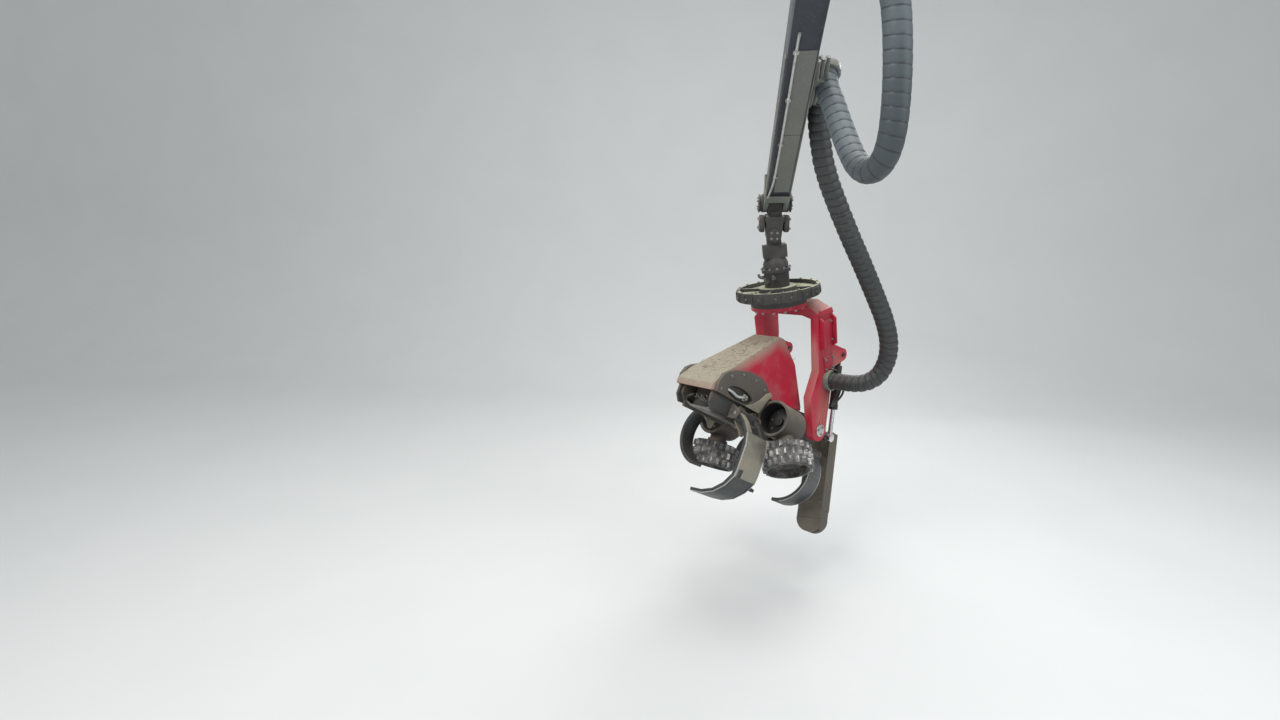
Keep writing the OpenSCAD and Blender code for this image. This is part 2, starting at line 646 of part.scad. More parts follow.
// The stretch of a route from point a to just short of point b
module tube(p, r, a, b) {
    n = 10;
    rings = [for (i = [a : b]) ring_at(p[i] - (i == b ? seat : 0) * route_dir(p, i), route_dir(p, i), r, n)];
    m = len(rings);
    polyhedron(
        points = [for (g = rings) for (q = g) q],
        faces = concat(
            [[for (k = [0 : n - 1]) n - 1 - k]],
            [for (i = [0 : m - 2]) for (k = [0 : n - 1])
                [i * n + k, i * n + (k + 1) % n, (i + 1) * n + (k + 1) % n, (i + 1) * n + k]],
            [[for (k = [0 : n - 1]) (m - 1) * n + k]]));
}

loop_route = [[84, 175, -80], [144, 175, -80], [200, 172, -92], [248, 166, -125], [284, 160, -185],
    [308, 158, -265], [324, 160, -355], [336, 165, -455], [345, 172, -560], [350, 183, -665], [350, 202, -765],
    [341, 237, -845], [320, 290, -893], [291, 355, -898], [264, 420, -862], [240, 480, -796], [217, 540, -717],
    [196, 598, -634], [176, 650, -555], [158, 697, -490], [148, 728, -438], [148, 759, -387]];
low_route = [[148, 878, -411], [148, 929, -442], [151, 968, -478], [156, 992, -530], [164, 1006, -590],
    [176, 1016, -655], [190, 1024, -718], [205, 1033, -780], [230, 1046, -850], [260, 1064, -920],
    [330, 1105, -1060], [405, 1150, -1200], [480, 1200, -1330], [553, 1252, -1460], [622, 1303, -1585],
    [686, 1352, -1710], [730, 1392, -1830], [745, 1420, -1930], [735, 1438, -2015], [705, 1452, -2085],
    [662, 1466, -2128], [618, 1484, -2152], [574, 1512, -2164], [530, 1549, -2170], [479, 1596, -2174],
    [435, 1637, -2176]];
low_split = [0, 10, 15, 25];
module low_part(k) color([0.07, 0.07, 0.08]) tube(low_route, hose_d / 2, low_split[k], low_split[k + 1]);
module hose_loop() color([0.35, 0.40, 0.43]) tube(loop_route, hose_d / 2, 0, len(loop_route) - 1);
module hose_boom() low_part(0);
module hose_link() low_part(1);
module hose_hanger() low_part(2);

// Distances along and across the boom of the loop's first clamp and of the two clamps on the bracket
loop_clamp_at = [191.2, 21.5];
clamp_out = 148;
end_clamp_at = [850, 60];
start_clamp_at = [963.7, 100];
clamp_depth = 20;
module clamp_ring() difference() {
    translate([0, 0, -clamp_depth]) cylinder(r = clamp_r, h = 2 * clamp_depth);
    cylinder(r = hose_d / 2 + hose_gap, h = 2 * clamp_depth);
}
module loop_clamp() color([0.4, 0.42, 0.42]) at_boom() translate([84 - seat, loop_clamp_at[0], loop_clamp_at[1]])
    difference() {
        rod_x(clamp_r, beam_w / 2 - 84 + seat, clamp_depth);
        rod_x(hose_d / 2 + hose_gap, 0, clamp_depth + 1);
    }
module hose_bracket() color([0.4, 0.42, 0.42]) at_boom() {
    translate([clamp_out, end_clamp_at[0], end_clamp_at[1]]) rotate([180, 0, 0]) clamp_ring();
    translate([clamp_out, start_clamp_at[0], start_clamp_at[1]]) rotate([-90, 0, 0]) clamp_ring();
    box([beam_w / 2, end_clamp_at[0] - 40, 30], [beam_w / 2 + 20, start_clamp_at[0], end_clamp_at[1] + clamp_depth]);
    box([beam_w / 2 + 10, end_clamp_at[0] - 20, end_clamp_at[1] + 2],
        [clamp_out, start_clamp_at[0] - 2, end_clamp_at[1] + clamp_depth - 2]);
}

boom_beam();
boom_nose();
boom_edge_strips();
hose_bracket();
loop_clamp();
tip_pin();
swing_brakes();
link();
cross_pin();
lean_brakes();
rotator();
guard_disc();
rotator_flange();
tilt_bracket();
tilt_pins();
hose_clamp();
tilt_barrel_near();
tilt_barrel_far();
tilt_rod_near();
tilt_rod_far();
side_plate_near();
side_plate_far();
cross_walls();
bay_wall();
bay_roof();
axle_tube();
guide_plates();
hood();
keel_plate();
valve_block();
arm_pins();
knife_pins();
saw_box();
saw_cap();
saw_motor();
front_knife_near();
front_knife_far();
rear_knife_near();
rear_knife_far();
roller_arm_near();
roller_arm_far();
roller_motor_near();
roller_motor_far();
roller_near();
roller_far();
measuring_arm();
measuring_wheel();
saw_bar();
saw_chain();
hose_loop();
hose_boom();
hose_link();
hose_hanger();
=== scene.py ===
"""Looks of a harvester head on its crane tip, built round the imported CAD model."""
import math
import bmesh
import bpy
from mathutils import Matrix, Vector


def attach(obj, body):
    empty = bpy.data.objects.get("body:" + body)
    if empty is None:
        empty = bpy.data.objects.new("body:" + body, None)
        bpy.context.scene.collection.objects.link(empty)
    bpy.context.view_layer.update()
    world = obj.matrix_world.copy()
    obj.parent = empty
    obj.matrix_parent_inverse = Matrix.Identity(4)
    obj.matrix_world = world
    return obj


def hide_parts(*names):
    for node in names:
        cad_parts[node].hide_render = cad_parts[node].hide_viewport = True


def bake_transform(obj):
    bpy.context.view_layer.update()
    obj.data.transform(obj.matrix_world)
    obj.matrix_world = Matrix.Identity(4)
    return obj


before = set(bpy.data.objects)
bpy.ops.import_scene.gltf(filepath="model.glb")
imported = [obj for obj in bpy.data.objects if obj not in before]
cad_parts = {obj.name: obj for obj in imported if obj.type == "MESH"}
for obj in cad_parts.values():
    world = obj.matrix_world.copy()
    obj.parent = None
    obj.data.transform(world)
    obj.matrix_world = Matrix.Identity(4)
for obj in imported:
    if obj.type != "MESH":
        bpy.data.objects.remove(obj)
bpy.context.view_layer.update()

bl_info = {
    "name": "Harvester head",
    "version": (1, 0, 0),
    "blender": (4, 5, 0),
    "location": "View3D > Sidebar > Harvester",
    "description": "Dresses the packed harvester head, piece by piece",
    "category": "Object",
}

NEAR = 1
FAR = -1
SIDES = {NEAR: "near", FAR: "far"}


# Places, in metres, as the part's source has them

def shift(x, y, z):
    return Matrix.Translation((x, y, z))


def turn(degrees, axis):
    return Matrix.Rotation(math.radians(degrees), 4, axis)


EXT_LEN, EXT_SLOPE = 1.9, 31
LINK_LEN, HANGER_H, BRACKET_H = 0.205, 0.385, 0.983
LEG_OUT, LEG_IN = 0.264, 0.202
BOOM = turn(-EXT_SLOPE, "X")
TIP = BOOM @ Vector((0, EXT_LEN, 0))
LINK = shift(*TIP) @ turn(4.5, "X")
HANGER = LINK @ shift(0, 0, -LINK_LEN) @ turn(-7.5, "Y")
DISC = HANGER @ shift(0, 0, -HANGER_H) @ turn(227.6, "Z")
PIVOT = DISC @ shift(0, 0, -BRACKET_H)
HEAD = PIVOT @ turn(-37.5, "Y") @ shift(0.42, 0, -0.387)
SAW = HEAD @ shift(-0.744, 0.11, 0.33) @ turn(12, "X")
ARM_OPEN = {NEAR: 39, FAR: 4}
ROLLER_R, TOOTH_H, ROLLER_W = 0.162, 0.016, 0.16
HOSE_R, WRAP_SEAM, WRAP_LAP, RIB_GROOVE = 0.0575, 0.0035, 0.0012, 0.005
BEAM_START, BEAM_RUN, BEAM_DEPTH, BEAM_TAPER = 0.13, 1.58, 0.1, 0.025


def mirrored(side, axis="Y"):
    """The near side stays as it is; the far one is its mirror image along an axis."""
    return Matrix.Diagonal([*(side if axis == a else 1 for a in "XYZ"), 1])


def arm_place(side):
    return HEAD @ mirrored(side) @ shift(0, 0.105, 0.295) @ turn(ARM_OPEN[side], "X")


def roller_place(side):
    return arm_place(side) @ shift(0, 0.08, -0.33) @ turn(-10, "X")


def metres(points):
    return [Vector(p) / 1000 for p in points]


# The centre lines of the two hoses, written in millimetres
LOOP_ROUTE = metres([
    (84, 175, -80), (144, 175, -80), (200, 172, -92), (248, 166, -125), (284, 160, -185),
    (308, 158, -265), (324, 160, -355), (336, 165, -455), (345, 172, -560), (350, 183, -665),
    (350, 202, -765), (341, 237, -845), (320, 290, -893), (291, 355, -898), (264, 420, -862),
    (240, 480, -796), (217, 540, -717), (196, 598, -634), (176, 650, -555), (158, 697, -490),
    (148, 728, -438), (148, 759, -387)])
LOW_ROUTE = metres([
    (148, 878, -411), (148, 929, -442), (151, 968, -478), (156, 992, -530), (164, 1006, -590),
    (176, 1016, -655), (190, 1024, -718), (205, 1033, -780), (230, 1046, -850), (260, 1064, -920),
    (330, 1105, -1060), (405, 1150, -1200), (480, 1200, -1330), (553, 1252, -1460),
    (622, 1303, -1585), (686, 1352, -1710), (730, 1392, -1830), (745, 1420, -1930),
    (735, 1438, -2015), (705, 1452, -2085), (662, 1466, -2128), (618, 1484, -2152),
    (574, 1512, -2164), (530, 1549, -2170), (479, 1596, -2174), (435, 1637, -2176)])
# Where the lower hose changes from one stretch to the next, and the bodies each stretch joins
LOW_BREAKS = (0, 10, 15, 25)
LOW_STRETCHES = (
    ("hose_boom", "root", "link"), ("hose_link", "link", "hanger"), ("hose_hanger", "hanger", "bracket"))
WINDING_WAY, WINDING_LENGTH = Vector((-0.75, 0.55, -0.2)), 0.40


# The view, the lamps and the floor with its backdrop

SENSOR, LENS, CLIP_START = 36.0, 16.875, 0.05
CAMERA_AT, CAMERA_WAY = (-0.34491, -2.56336, -1.16841), Vector((-0.129, 0.970, -0.208)).normalized()
LAMPS_AIM = Vector((0.1, 1.4, -1.9))
# Each lamp's place, power, width and tint
LAMPS = {
    "Key": ((-3.2, -2.6, 2.6), 210.0, 3.0, (1.0, 0.98, 0.95)),
    "Fill": ((4.2, -1.6, 0.4), 90.0, 3.4, (0.94, 0.97, 1.0)),
    "Top": ((0.4, 1.6, 3.6), 150.0, 3.6, (1.0, 1.0, 1.0)),
    "Back": ((1.8, 5.2, 1.2), 90.0, 2.4, (1.0, 1.0, 1.0)),
}
FLOOR_Z, FLOOR_FRONT, FLOOR_BACK, FLOOR_HALF = -3.62, -16.0, 9.0, 28.0
BACKDROP_H, BACKDROP_BEND = 11.0, 3.0


def looking(place, way):
    """The matrix of a camera or a lamp at a place, looking along a way."""
    return Matrix.Translation(place) @ way.to_track_quat("-Z", "Y").to_matrix().to_4x4()


# Sizes and colours that a user would change

def size(name, note, default):
    return bpy.props.FloatProperty(name=name, description=note, default=default, unit="LENGTH")


def colour(name, note, default):
    return bpy.props.FloatVectorProperty(
        name=name, description=note, default=default, size=3, subtype="COLOR", min=0, max=1)


class PaintColours(bpy.types.PropertyGroup):
    red: colour("Red", "Enamel of the hood and bracket", (0.47, 0.012, 0.040))
    boom: colour("Boom", "Paint of the boom extension", (0.030, 0.036, 0.048))
    nose: colour("Nose", "Paint of the boom's nose and hose bracket", (0.17, 0.18, 0.16))
    casting: colour("Casting", "Dark castings of the link and rotator", (0.035, 0.036, 0.036))
    frame_paint: colour("Frame", "Head frame, arms and saw box", (0.085, 0.074, 0.062))
    dust: colour("Dust", "Dust and sawdust that has settled", (0.34, 0.285, 0.21))
    mud: colour("Mud", "Dried mud in the corners", (0.15, 0.115, 0.08))


class MetalColours(bpy.types.PropertyGroup):
    steel: colour("Steel", "Worn plates and knives", (0.36, 0.365, 0.36))
    bright: colour("Bright", "Ground edges, pins and bolts", (0.62, 0.62, 0.60))
    roller: colour("Roller", "Feed rollers", (0.055, 0.055, 0.057))
    black: colour("Black", "Rubber and the cylinders", (0.018, 0.019, 0.021))
    sleeve: colour("Sleeve", "Wrapped sleeve of the upper loop", (0.115, 0.140, 0.155))


class DetailSizes(bpy.types.PropertyGroup):
    bevel: size("Edge", "Broken edge of the plates", 0.003)
    wrap: size("Wrap", "Pitch of the wrap on the upper hose loop", 0.052)
    rib: size("Rib", "Pitch of the wrap on the lower hose", 0.046)
    bolt: size("Bolt", "Radius of a bolt's head", 0.012)
    needles: bpy.props.IntProperty(
        name="Needles", description="Needles per square metre of the hood", default=800, min=0)
    teeth: bpy.props.IntProperty(
        name="Teeth", description="Teeth in one row of a feed roller", default=20, min=8)


# Shader maths

class Wire:
    """A shader socket that takes part in arithmetic."""

    def __init__(self, tree, socket):
        self.tree = tree
        self.socket = socket

    def maths(self, operation, first, second=None):
        made = self.tree.nodes.new("ShaderNodeMath")
        made.operation = operation
        plug(self.tree, made.inputs[0], first)
        if second is not None:
            plug(self.tree, made.inputs[1], second)
        return Wire(self.tree, made.outputs[0])

    def __add__(self, other):
        return self.maths("ADD", self, other)

    def __sub__(self, other):
        return self.maths("SUBTRACT", self, other)

    def __rsub__(self, other):
        return self.maths("SUBTRACT", other, self)

    def __mul__(self, other):
        return self.maths("MULTIPLY", self, other)

    def __truediv__(self, other):
        return self.maths("DIVIDE", self, other)

    def abs(self):
        return self.maths("ABSOLUTE", self)

    def least(self, other):
        return self.maths("MINIMUM", self, other)

    def most(self, other):
        return self.maths("MAXIMUM", self, other)


def plug(tree, socket, value):
    """Joins a wire to a socket, or sets a plain value on it."""
    if isinstance(value, Wire):
        tree.links.new(value.socket, socket)
    elif value is not None:
        socket.default_value = value


class Finish:
    """One material, built from sockets and expressions."""

    def __init__(self, name):
        self.material = bpy.data.materials.new(name)
        self.material.use_nodes = True
        self.tree = self.material.node_tree
        self.tree.nodes.clear()
        self.shader = self.tree.nodes.new("ShaderNodeBsdfPrincipled")
        out = self.tree.nodes.new("ShaderNodeOutputMaterial")
        self.tree.links.new(self.shader.outputs[0], out.inputs[0])
        coordinates = self.tree.nodes.new("ShaderNodeTexCoord")
        self.place = Wire(self.tree, coordinates.outputs["Object"])
        self.facing = Wire(self.tree, coordinates.outputs["Normal"])
        self.uv = Wire(self.tree, coordinates.outputs["UV"])

    def node(self, kind, settings=None, sockets=None, output=0):
        made = self.tree.nodes.new(kind)
        for key, value in (settings or {}).items():
            setattr(made, key, value)
        for key, value in (sockets or {}).items():
            plug(self.tree, made.inputs[key], value)
        return Wire(self.tree, made.outputs[output])

    def reach(self, axis):
        """How far a point lies along an axis of the head, from the head's middle."""
        axis = Vector(axis[:3])
        place = self.node("ShaderNodeVectorMath", {"operation": "DOT_PRODUCT"},
                          {0: self.place, 1: axis}, output=1)
        return place - HEAD.translation.dot(axis)

    def part(self, vector, axis):
        return self.node("ShaderNodeSeparateXYZ", sockets={0: vector}, output="XYZ".index(axis))

    def stretched(self, scale, turned=(0, 0, 0)):
        return self.node("ShaderNodeMapping", sockets={
            "Vector": self.place, "Rotation": turned, "Scale": scale})

    def noise(self, scale, detail=4.0, rough=0.55, vector=None):
        return self.node("ShaderNodeTexNoise", sockets={
            "Vector": vector or self.place, "Scale": scale, "Detail": detail, "Roughness": rough})

    def step(self, value, low, high):
        """0 below low, 1 above high and a ramp between them."""
        return self.node("ShaderNodeMapRange", {"clamp": True}, {
            "Value": value, "From Min": low, "From Max": high, "To Min": 0.0, "To Max": 1.0})

    def mix(self, factor, first, second):
        rgba = [c if isinstance(c, Wire) else (*c, 1.0) for c in (first, second)]
        return self.node("ShaderNodeMix", {"data_type": "RGBA"}, {
            0: factor, 6: rgba[0], 7: rgba[1]}, output=2)

    def bump(self, height, strength=0.3, distance=0.002):
        self.put("Normal", self.node("ShaderNodeBump", sockets={
            "Height": height, "Strength": strength, "Distance": distance}))

    def put(self, socket, value):
        plug(self.tree, self.shader.inputs[socket], value)


def up_mask(finish, low, high):
    """How far a surface faces up, where dust settles."""
    return finish.step(finish.part(finish.facing, "Z"), low, high)


def enamel(name, base, dust, mud, dusty, chips=0.62):
    """Glossy paint with settled dust, dull patches, scratches and mud."""
    f = Finish(name)
    broad = f.noise(3.2, 5.0, 0.6)
    fine = f.noise(46.0, 6.0, 0.7)
    grooves = f.noise(9.0, 6.0, 0.75, f.stretched((9.0, 9.0, 60.0), (0.5, 0.3, 0.2)))
    scratch = f.step(grooves, chips, chips + 0.05)
    dull = f.step(broad, 0.42, 0.72)
    paint = f.mix(dull * 0.35, base, [0.55 * c + 0.02 for c in base])
    paint = f.mix(scratch * 0.4, paint, [min(1, c * 0.5 + 0.22) for c in base])
    settled = up_mask(f, 0.05, 0.75) * f.step(fine * 0.5 + broad, 0.42, 0.86) * dusty
    film = f.step(f.noise(14.0, 6.0, 0.7), 0.5, 0.8) * (0.3 * dusty)
    spots = f.step(f.noise(110.0, 3.0, 0.6), 0.66, 0.72) * 0.55
    cover = settled.most(film)
    paint = f.mix(cover, paint, dust)
    paint = f.mix(spots * f.step(broad, 0.45, 0.6), paint, mud)
    f.put("Base Color", paint)
    f.put("Roughness", (cover * 0.5 + 0.3 + dull * 0.12).least(0.95))
    f.put("Specular IOR Level", 0.45)
    f.bump(fine * 0.4 + settled * 0.8, 0.35, 0.0015)
    return f.material


def hood_enamel(name, base, dust, mud):
    """The hood's enamel: its top is buried in sawdust and needles, its sides are clean."""
    f = Finish(name)
    broad = f.noise(2.4, 5.0, 0.6)
    fine = f.noise(58.0, 6.0, 0.7)
    grooves = f.noise(8.0, 6.0, 0.8, f.stretched((7.0, 12.0, 50.0), (0.4, 0.7, 0.1)))
    scratch = f.step(grooves, 0.63, 0.67)
    paint = f.mix(f.step(broad, 0.4, 0.7) * 0.3, base, [0.6 * c + 0.015 for c in base])
    paint = f.mix(scratch * 0.45, paint, [min(1, 0.45 * c + 0.25) for c in base])
    up = f.part(f.facing, "Z")
    edge = f.step(up + (broad * 0.35 + fine * 0.2), 0.62, 0.92)
    along = f.reach(HEAD.col[0])
    below = (0.966 - along * 0.958 - f.reach(HEAD.col[2])).least(0.852 - f.reach(HEAD.col[2]))
    ridge = f.step(broad * 0.10 + fine * 0.05 - below, -0.03, 0.07)
    front = f.step(along + broad * 0.2, 0.42, 0.66)
    film = (f.step(f.noise(11.0, 6.0, 0.7), 0.48, 0.78) * 0.32).most(ridge * 0.75).most(front * 0.8)
    litter = f.mix(f.step(fine, 0.45, 0.68) * 0.7, [1.12 * c for c in dust], [1.5 * c for c in mud])
    dark = f.step(f.noise(150.0, 4.0, 0.7), 0.60, 0.66) * 0.6
    litter = f.mix(dark, litter, [0.8 * c for c in mud])
    pale = f.step(f.noise(210.0, 3.0, 0.6), 0.62, 0.66) * 0.7
    litter = f.mix(pale, litter, [min(1, 1.6 * c) for c in dust])
    paint = f.mix(film, paint, dust)
    paint = f.mix(edge * 0.94, paint, litter)
    f.put("Base Color", paint)
    f.put("Roughness", (edge * 0.6 + film * 0.6 + 0.28).least(0.96))
    f.bump(fine * edge + edge * 0.6, 0.6, 0.003)
    return f.material


def cast(name, base, dust, mud, dusty=0.5, shine=0.45):
    """A dark oily casting with a grainy skin, rust tints and dust on what faces up."""
    f = Finish(name)
    grain = f.noise(170.0, 4.0, 0.6)
    patches = f.noise(7.0, 6.0, 0.65)
    body = f.mix(f.step(patches, 0.35, 0.7) * 0.6, base, [0.7 * b + 0.3 * m for b, m in zip(base, mud)])
    body = f.mix(f.step(grain, 0.55, 0.8) * 0.35, body, [min(1, 1.9 * c + 0.02) for c in base])
    worn = f.step(f.noise(24.0, 5.0, 0.8), 0.66, 0.72)
    body = f.mix(worn * 0.35, body, (0.30, 0.30, 0.29))
    settled = up_mask(f, 0.1, 0.9) * f.step(patches + grain * 0.3, 0.45, 0.85) * dusty
    body = f.mix(settled, body, dust)
    f.put("Base Color", body)
    f.put("Metallic", worn * 0.5)
    f.put("Roughness", (settled * 0.4 + shine + grain * 0.2).least(0.95))
    f.bump(grain + patches * 0.5, 0.4, 0.0012)
    return f.material


def worn_plate(name, base, dust, mud, dirt_and_painted_shade=0.5):
    """Bare steel, rubbed bright along the feed direction and dull with sap and soil between."""
    f = Finish(name)
    rub = f.noise(12.0, 7.0, 0.75, f.stretched((3.0, 26.0, 26.0), (0.3, 0.5, 0.85)))
    patches = f.noise(5.0, 6.0, 0.65)
    metal = f.mix(f.step(rub, 0.35, 0.7), [0.55 * c for c in base], base)
    metal = f.mix(f.step(rub, 0.66, 0.78) * 0.6, metal, [min(1, 1.5 * c + 0.05) for c in base])
    soiled = f.step(patches + rub * 0.25, 0.52, 0.78) * dirt_and_painted_shade
    settled = (up_mask(f, 0.2, 0.9) * dirt_and_painted_shade).most(soiled)
    metal = f.mix(settled, metal, f.mix(f.step(f.noise(60.0), 0.4, 0.6), mud, dust))
    f.put("Base Color", metal)
    f.put("Metallic", (1 - settled) * 0.75)
    f.put("Roughness", (settled * 0.4 + 0.34 + patches * 0.15).least(0.92))
    f.bump(rub * 0.5 + patches, 0.3, 0.0012)
    return f.material


def bright_metal(name, base, rough=0.28):
    """Turned or ground metal with fine lines and a little grime."""
    f = Finish(name)
    lines = f.noise(30.0, 6.0, 0.8, f.stretched((40.0, 40.0, 4.0)))
    grime_and_painted_shade = f.step(f.noise(18.0, 5.0, 0.7), 0.52, 0.75)
    metal = f.mix(lines * 0.4, base, [0.6 * c for c in base])
    f.put("Base Color", f.mix(grime_and_painted_shade * 0.6, metal, (0.06, 0.05, 0.04)))
    f.put("Metallic", 1 - grime_and_painted_shade * 0.5)
    f.put("Roughness", lines * 0.15 + rough + grime_and_painted_shade * 0.3)
    f.bump(lines, 0.15, 0.0006)
    return f.material


def toothed_steel(name, base, bright, mud, rubbed_share):
    """The rollers' steel: dark and soiled, rubbed bright in patches."""
    f = Finish(name)
    grain = f.noise(60.0, 5.0, 0.7)
    patches = f.noise(11.0, 5.0, 0.6)
    body = f.mix(f.step(patches, 0.42, 0.68) * 0.6, base, mud)
    rubbed = f.step(grain * 0.5 + patches, 0.70, 0.90) * rubbed_share
    body = f.mix(rubbed, body, bright)
    f.put("Base Color", body)
    f.put("Metallic", rubbed * 0.7)
    f.put("Roughness", 0.6 - rubbed * 0.2)
    f.bump(grain, 0.35, 0.0012)
    return f.material


def sleeve(name, base, dust, dark, pitch, grime_and_painted_shade=None):
    """A wrapped hose sleeve: dull plastic, dusty above, with dirt in the seams of the wrap.

    The last argument is (start, end, strength): how far along the hose the painted shade reaches, darkening
    the strand that runs down into its hanging bend."""
    f = Finish(name)
    run = f.part(f.uv, "X")
    turns = run / pitch
    seam = f.step((turns.maths("FRACT", turns) - 0.5).abs(), 0.40, 0.48)
    fine = f.noise(80.0, 4.0, 0.6)
    patches = f.noise(6.0, 5.0, 0.65)
    skin = f.mix(f.step(patches, 0.4, 0.7) * 0.5, base, [0.6 * c for c in base])
    skin = f.mix(up_mask(f, 0.1, 0.9) * f.step(patches + fine * 0.3, 0.4, 0.8) * 0.4, skin, dust)
    if grime_and_painted_shade:
        start, end, strength = grime_and_painted_shade
        # Painted shade: this stretch of the hose is darkened as though it lay in shade.
        dirt_and_painted_shade = f.step(run, start, start + 0.3) * (1 - f.step(run, end, end + 0.2))
        skin = f.mix(dirt_and_painted_shade * strength, skin, [0.3 * c for c in base])
    skin = f.mix(seam * 0.85, skin, dark)
    f.put("Base Color", skin)
    f.put("Roughness", (fine * 0.2 + 0.42).least(0.9))
    f.bump(fine, 0.25, 0.001)
    return f.material


def rubber(name, base, dust):
    """Rubber or black paint, dull in patches and dusty above."""
    f = Finish(name)
    fine = f.noise(90.0, 4.0, 0.6)
    patches = f.noise(5.0, 5.0, 0.65)
    skin = f.mix(f.step(patches, 0.45, 0.75) * 0.5, base, [min(1, 2.4 * c) for c in base])
    skin = f.mix(up_mask(f, 0.1, 1.0) * f.step(patches + fine * 0.3, 0.5, 0.85) * 0.35, skin, dust)
    f.put("Base Color", skin)
    f.put("Roughness", fine * 0.25 + 0.38)
    f.bump(fine, 0.3, 0.001)
    return f.material


def litter_finish(name, base, dark):
    """Dry needles, pale and dark."""
    f = Finish(name)
    f.put("Base Color", f.mix(f.step(f.noise(40.0), 0.4, 0.6), base, dark))
    f.put("Roughness", 0.85)
    return f.material


MATERIALS = {}


def make_materials(scene):
    paint, metal, sizes = scene.head_paint, scene.head_metal, scene.head_sizes
    dust, mud = paint.dust, paint.mud
    MATERIALS.update(
        red=enamel("Red enamel", paint.red, dust, mud, 0.55),
        hood=hood_enamel("Dusty red enamel", paint.red, (0.335, 0.305, 0.235), mud),
        boom=enamel("Boom paint", paint.boom, (0.16, 0.16, 0.15), (0.24, 0.24, 0.24), 0.7, 0.6),
        nose=enamel("Worn grey-green paint", paint.nose, dust, (0.05, 0.05, 0.045), 0.5, 0.55),
        casting=cast("Oily casting", paint.casting, dust, mud, 0.45),
        disc=cast("Dusty casting", paint.casting, (0.42, 0.42, 0.30), mud, 1.6, 0.55),
        frame=cast("Soiled frame paint", paint.frame_paint, dust, mud, 0.7, 0.5),
        steel=worn_plate("Worn steel", metal.steel, dust, mud, 0.6),
        bright=bright_metal("Bright steel", metal.bright),
        bolt=bright_metal("Bolt steel", [0.55 * c for c in metal.bright], 0.4),
        chrome=bright_metal("Polished rod", (0.8, 0.81, 0.82), 0.12),
        roller=toothed_steel("Roller steel", metal.roller, metal.bright, mud, 0.25),
        tooth=toothed_steel("Rubbed teeth", [2.2 * c for c in metal.roller], metal.bright, mud, 1.0),
        # The knives' steel is darkened as painted shade, for the parts that curve under the trunk.
        blade=worn_plate("Blade steel darkened as painted shade", (0.085, 0.095, 0.10), [0.6 * c for c in dust], mud, 0.35),
        dusty=worn_plate("Dusty plate", (0.36, 0.35, 0.29), [1.15 * c for c in dust], dust, 0.8),
        slate=worn_plate("Bluish plate", (0.12, 0.14, 0.155), dust, mud, 0.25),
        hose=sleeve("Dark wrapped hose", (0.042, 0.048, 0.046), (0.15, 0.15, 0.13),
                    (0.006, 0.006, 0.007), sizes.rib),
        black=rubber("Black paint", [0.9 * c for c in metal.black], dust),
        # The last three numbers darken one strand of the loop as painted shade.
        sleeve=sleeve("Wrapped sleeve", metal.sleeve, (0.3, 0.3, 0.28), (0.03, 0.035, 0.04), sizes.wrap,
                      (0.45, 1.06, 0.62)),
        litter=litter_finish("Needles", (0.42, 0.35, 0.24), (0.16, 0.11, 0.06)),
    )


# Mesh tools

SHARP_DEGREES = 35
FLAT_DEGREES = 0.6
CAD_WELD = 0.00003
TINY = 1e-6


def smooth_by_angle(mesh, degrees=SHARP_DEGREES):
    mesh.polygons.foreach_set("use_smooth", [True] * len(mesh.polygons))
    mesh.set_sharp_from_angle(angle=math.radians(degrees))


def break_edges(bm, width):
    edges = [e for e in bm.edges if len(e.link_faces) == 2
             and e.calc_face_angle(0) > math.radians(SHARP_DEGREES)]
    if edges and width > 0:
        bmesh.ops.bevel(bm, geom=edges, offset=width, offset_type="OFFSET", segments=2,
                        profile=0.6, affect="EDGES", clamp_overlap=True)


def set_in(bm, place):
    """Moves a bmesh to its place; where that mirrors it, its faces still look outwards."""
    bm.transform(place)
    if place.to_3x3().determinant() < 0:
        bmesh.ops.reverse_faces(bm, faces=bm.faces)


def mesh_of(name, bm):
    """A mesh of what a bmesh holds; the bmesh ends here."""
    mesh = bpy.data.meshes.new(name)
    bm.to_mesh(mesh)
    bm.free()
    return mesh


def take_in(bm, one, place):
    """Adds another bmesh in its place; that one ends here."""
    set_in(one, place)
    held = mesh_of("held", one)
    bm.from_mesh(held)
    bpy.data.meshes.remove(held)


def add_object(name, mesh, material, degrees=SHARP_DEGREES):
    mesh.materials.append(MATERIALS[material])
    smooth_by_angle(mesh, degrees)
    made = bpy.data.objects.new(name, mesh)
    bpy.context.scene.collection.objects.link(made)
    return made


def add_piece(name, mesh, material, body):
    piece = add_object(name, mesh, material)
    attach(piece, body)
    return piece


def finish_object(name, bm, material, body, place=None, width=0.0, turned=False):
    """Closes a piece: broken edges, its place in the mesh, its material and body.

    turned makes all its faces look outwards first."""
    if turned:
        bmesh.ops.recalc_face_normals(bm, faces=bm.faces)
    break_edges(bm, width)
    if place is not None:
        set_in(bm, place)
    return add_piece(name, mesh_of(name, bm), material, body)


def dress(node, body, material, width):
    """A copy of a CAD node with merged faces and broken edges, which stands for the node."""
    bm = bmesh.new()
    bm.from_mesh(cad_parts[node].data)
    bmesh.ops.remove_doubles(bm, verts=bm.verts, dist=CAD_WELD)
    bmesh.ops.dissolve_limit(bm, angle_limit=math.radians(FLAT_DEGREES), verts=bm.verts, edges=bm.edges)
    piece = finish_object(node + "_dressed", bm, material, body, width=width)
    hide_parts(node)
    return piece


def dress_all(body, width, rows):
    """Dresses CAD nodes of one body; each row ends with its broken edge, as a share of the width."""
    for node, material, slot, share in rows:
        dress(node, body, material, share * width)


def block(bm, low, high):
    low, high = Vector(low), Vector(high)
    middle, span = (low + high) / 2, high - low
    bmesh.ops.create_cube(bm, size=1, matrix=Matrix.Translation(middle) @ Matrix.Diagonal((*span, 1)))


ROUND = {"X": turn(90, "Y"), "Y": turn(-90, "X"), "Z": Matrix.Identity(4)}


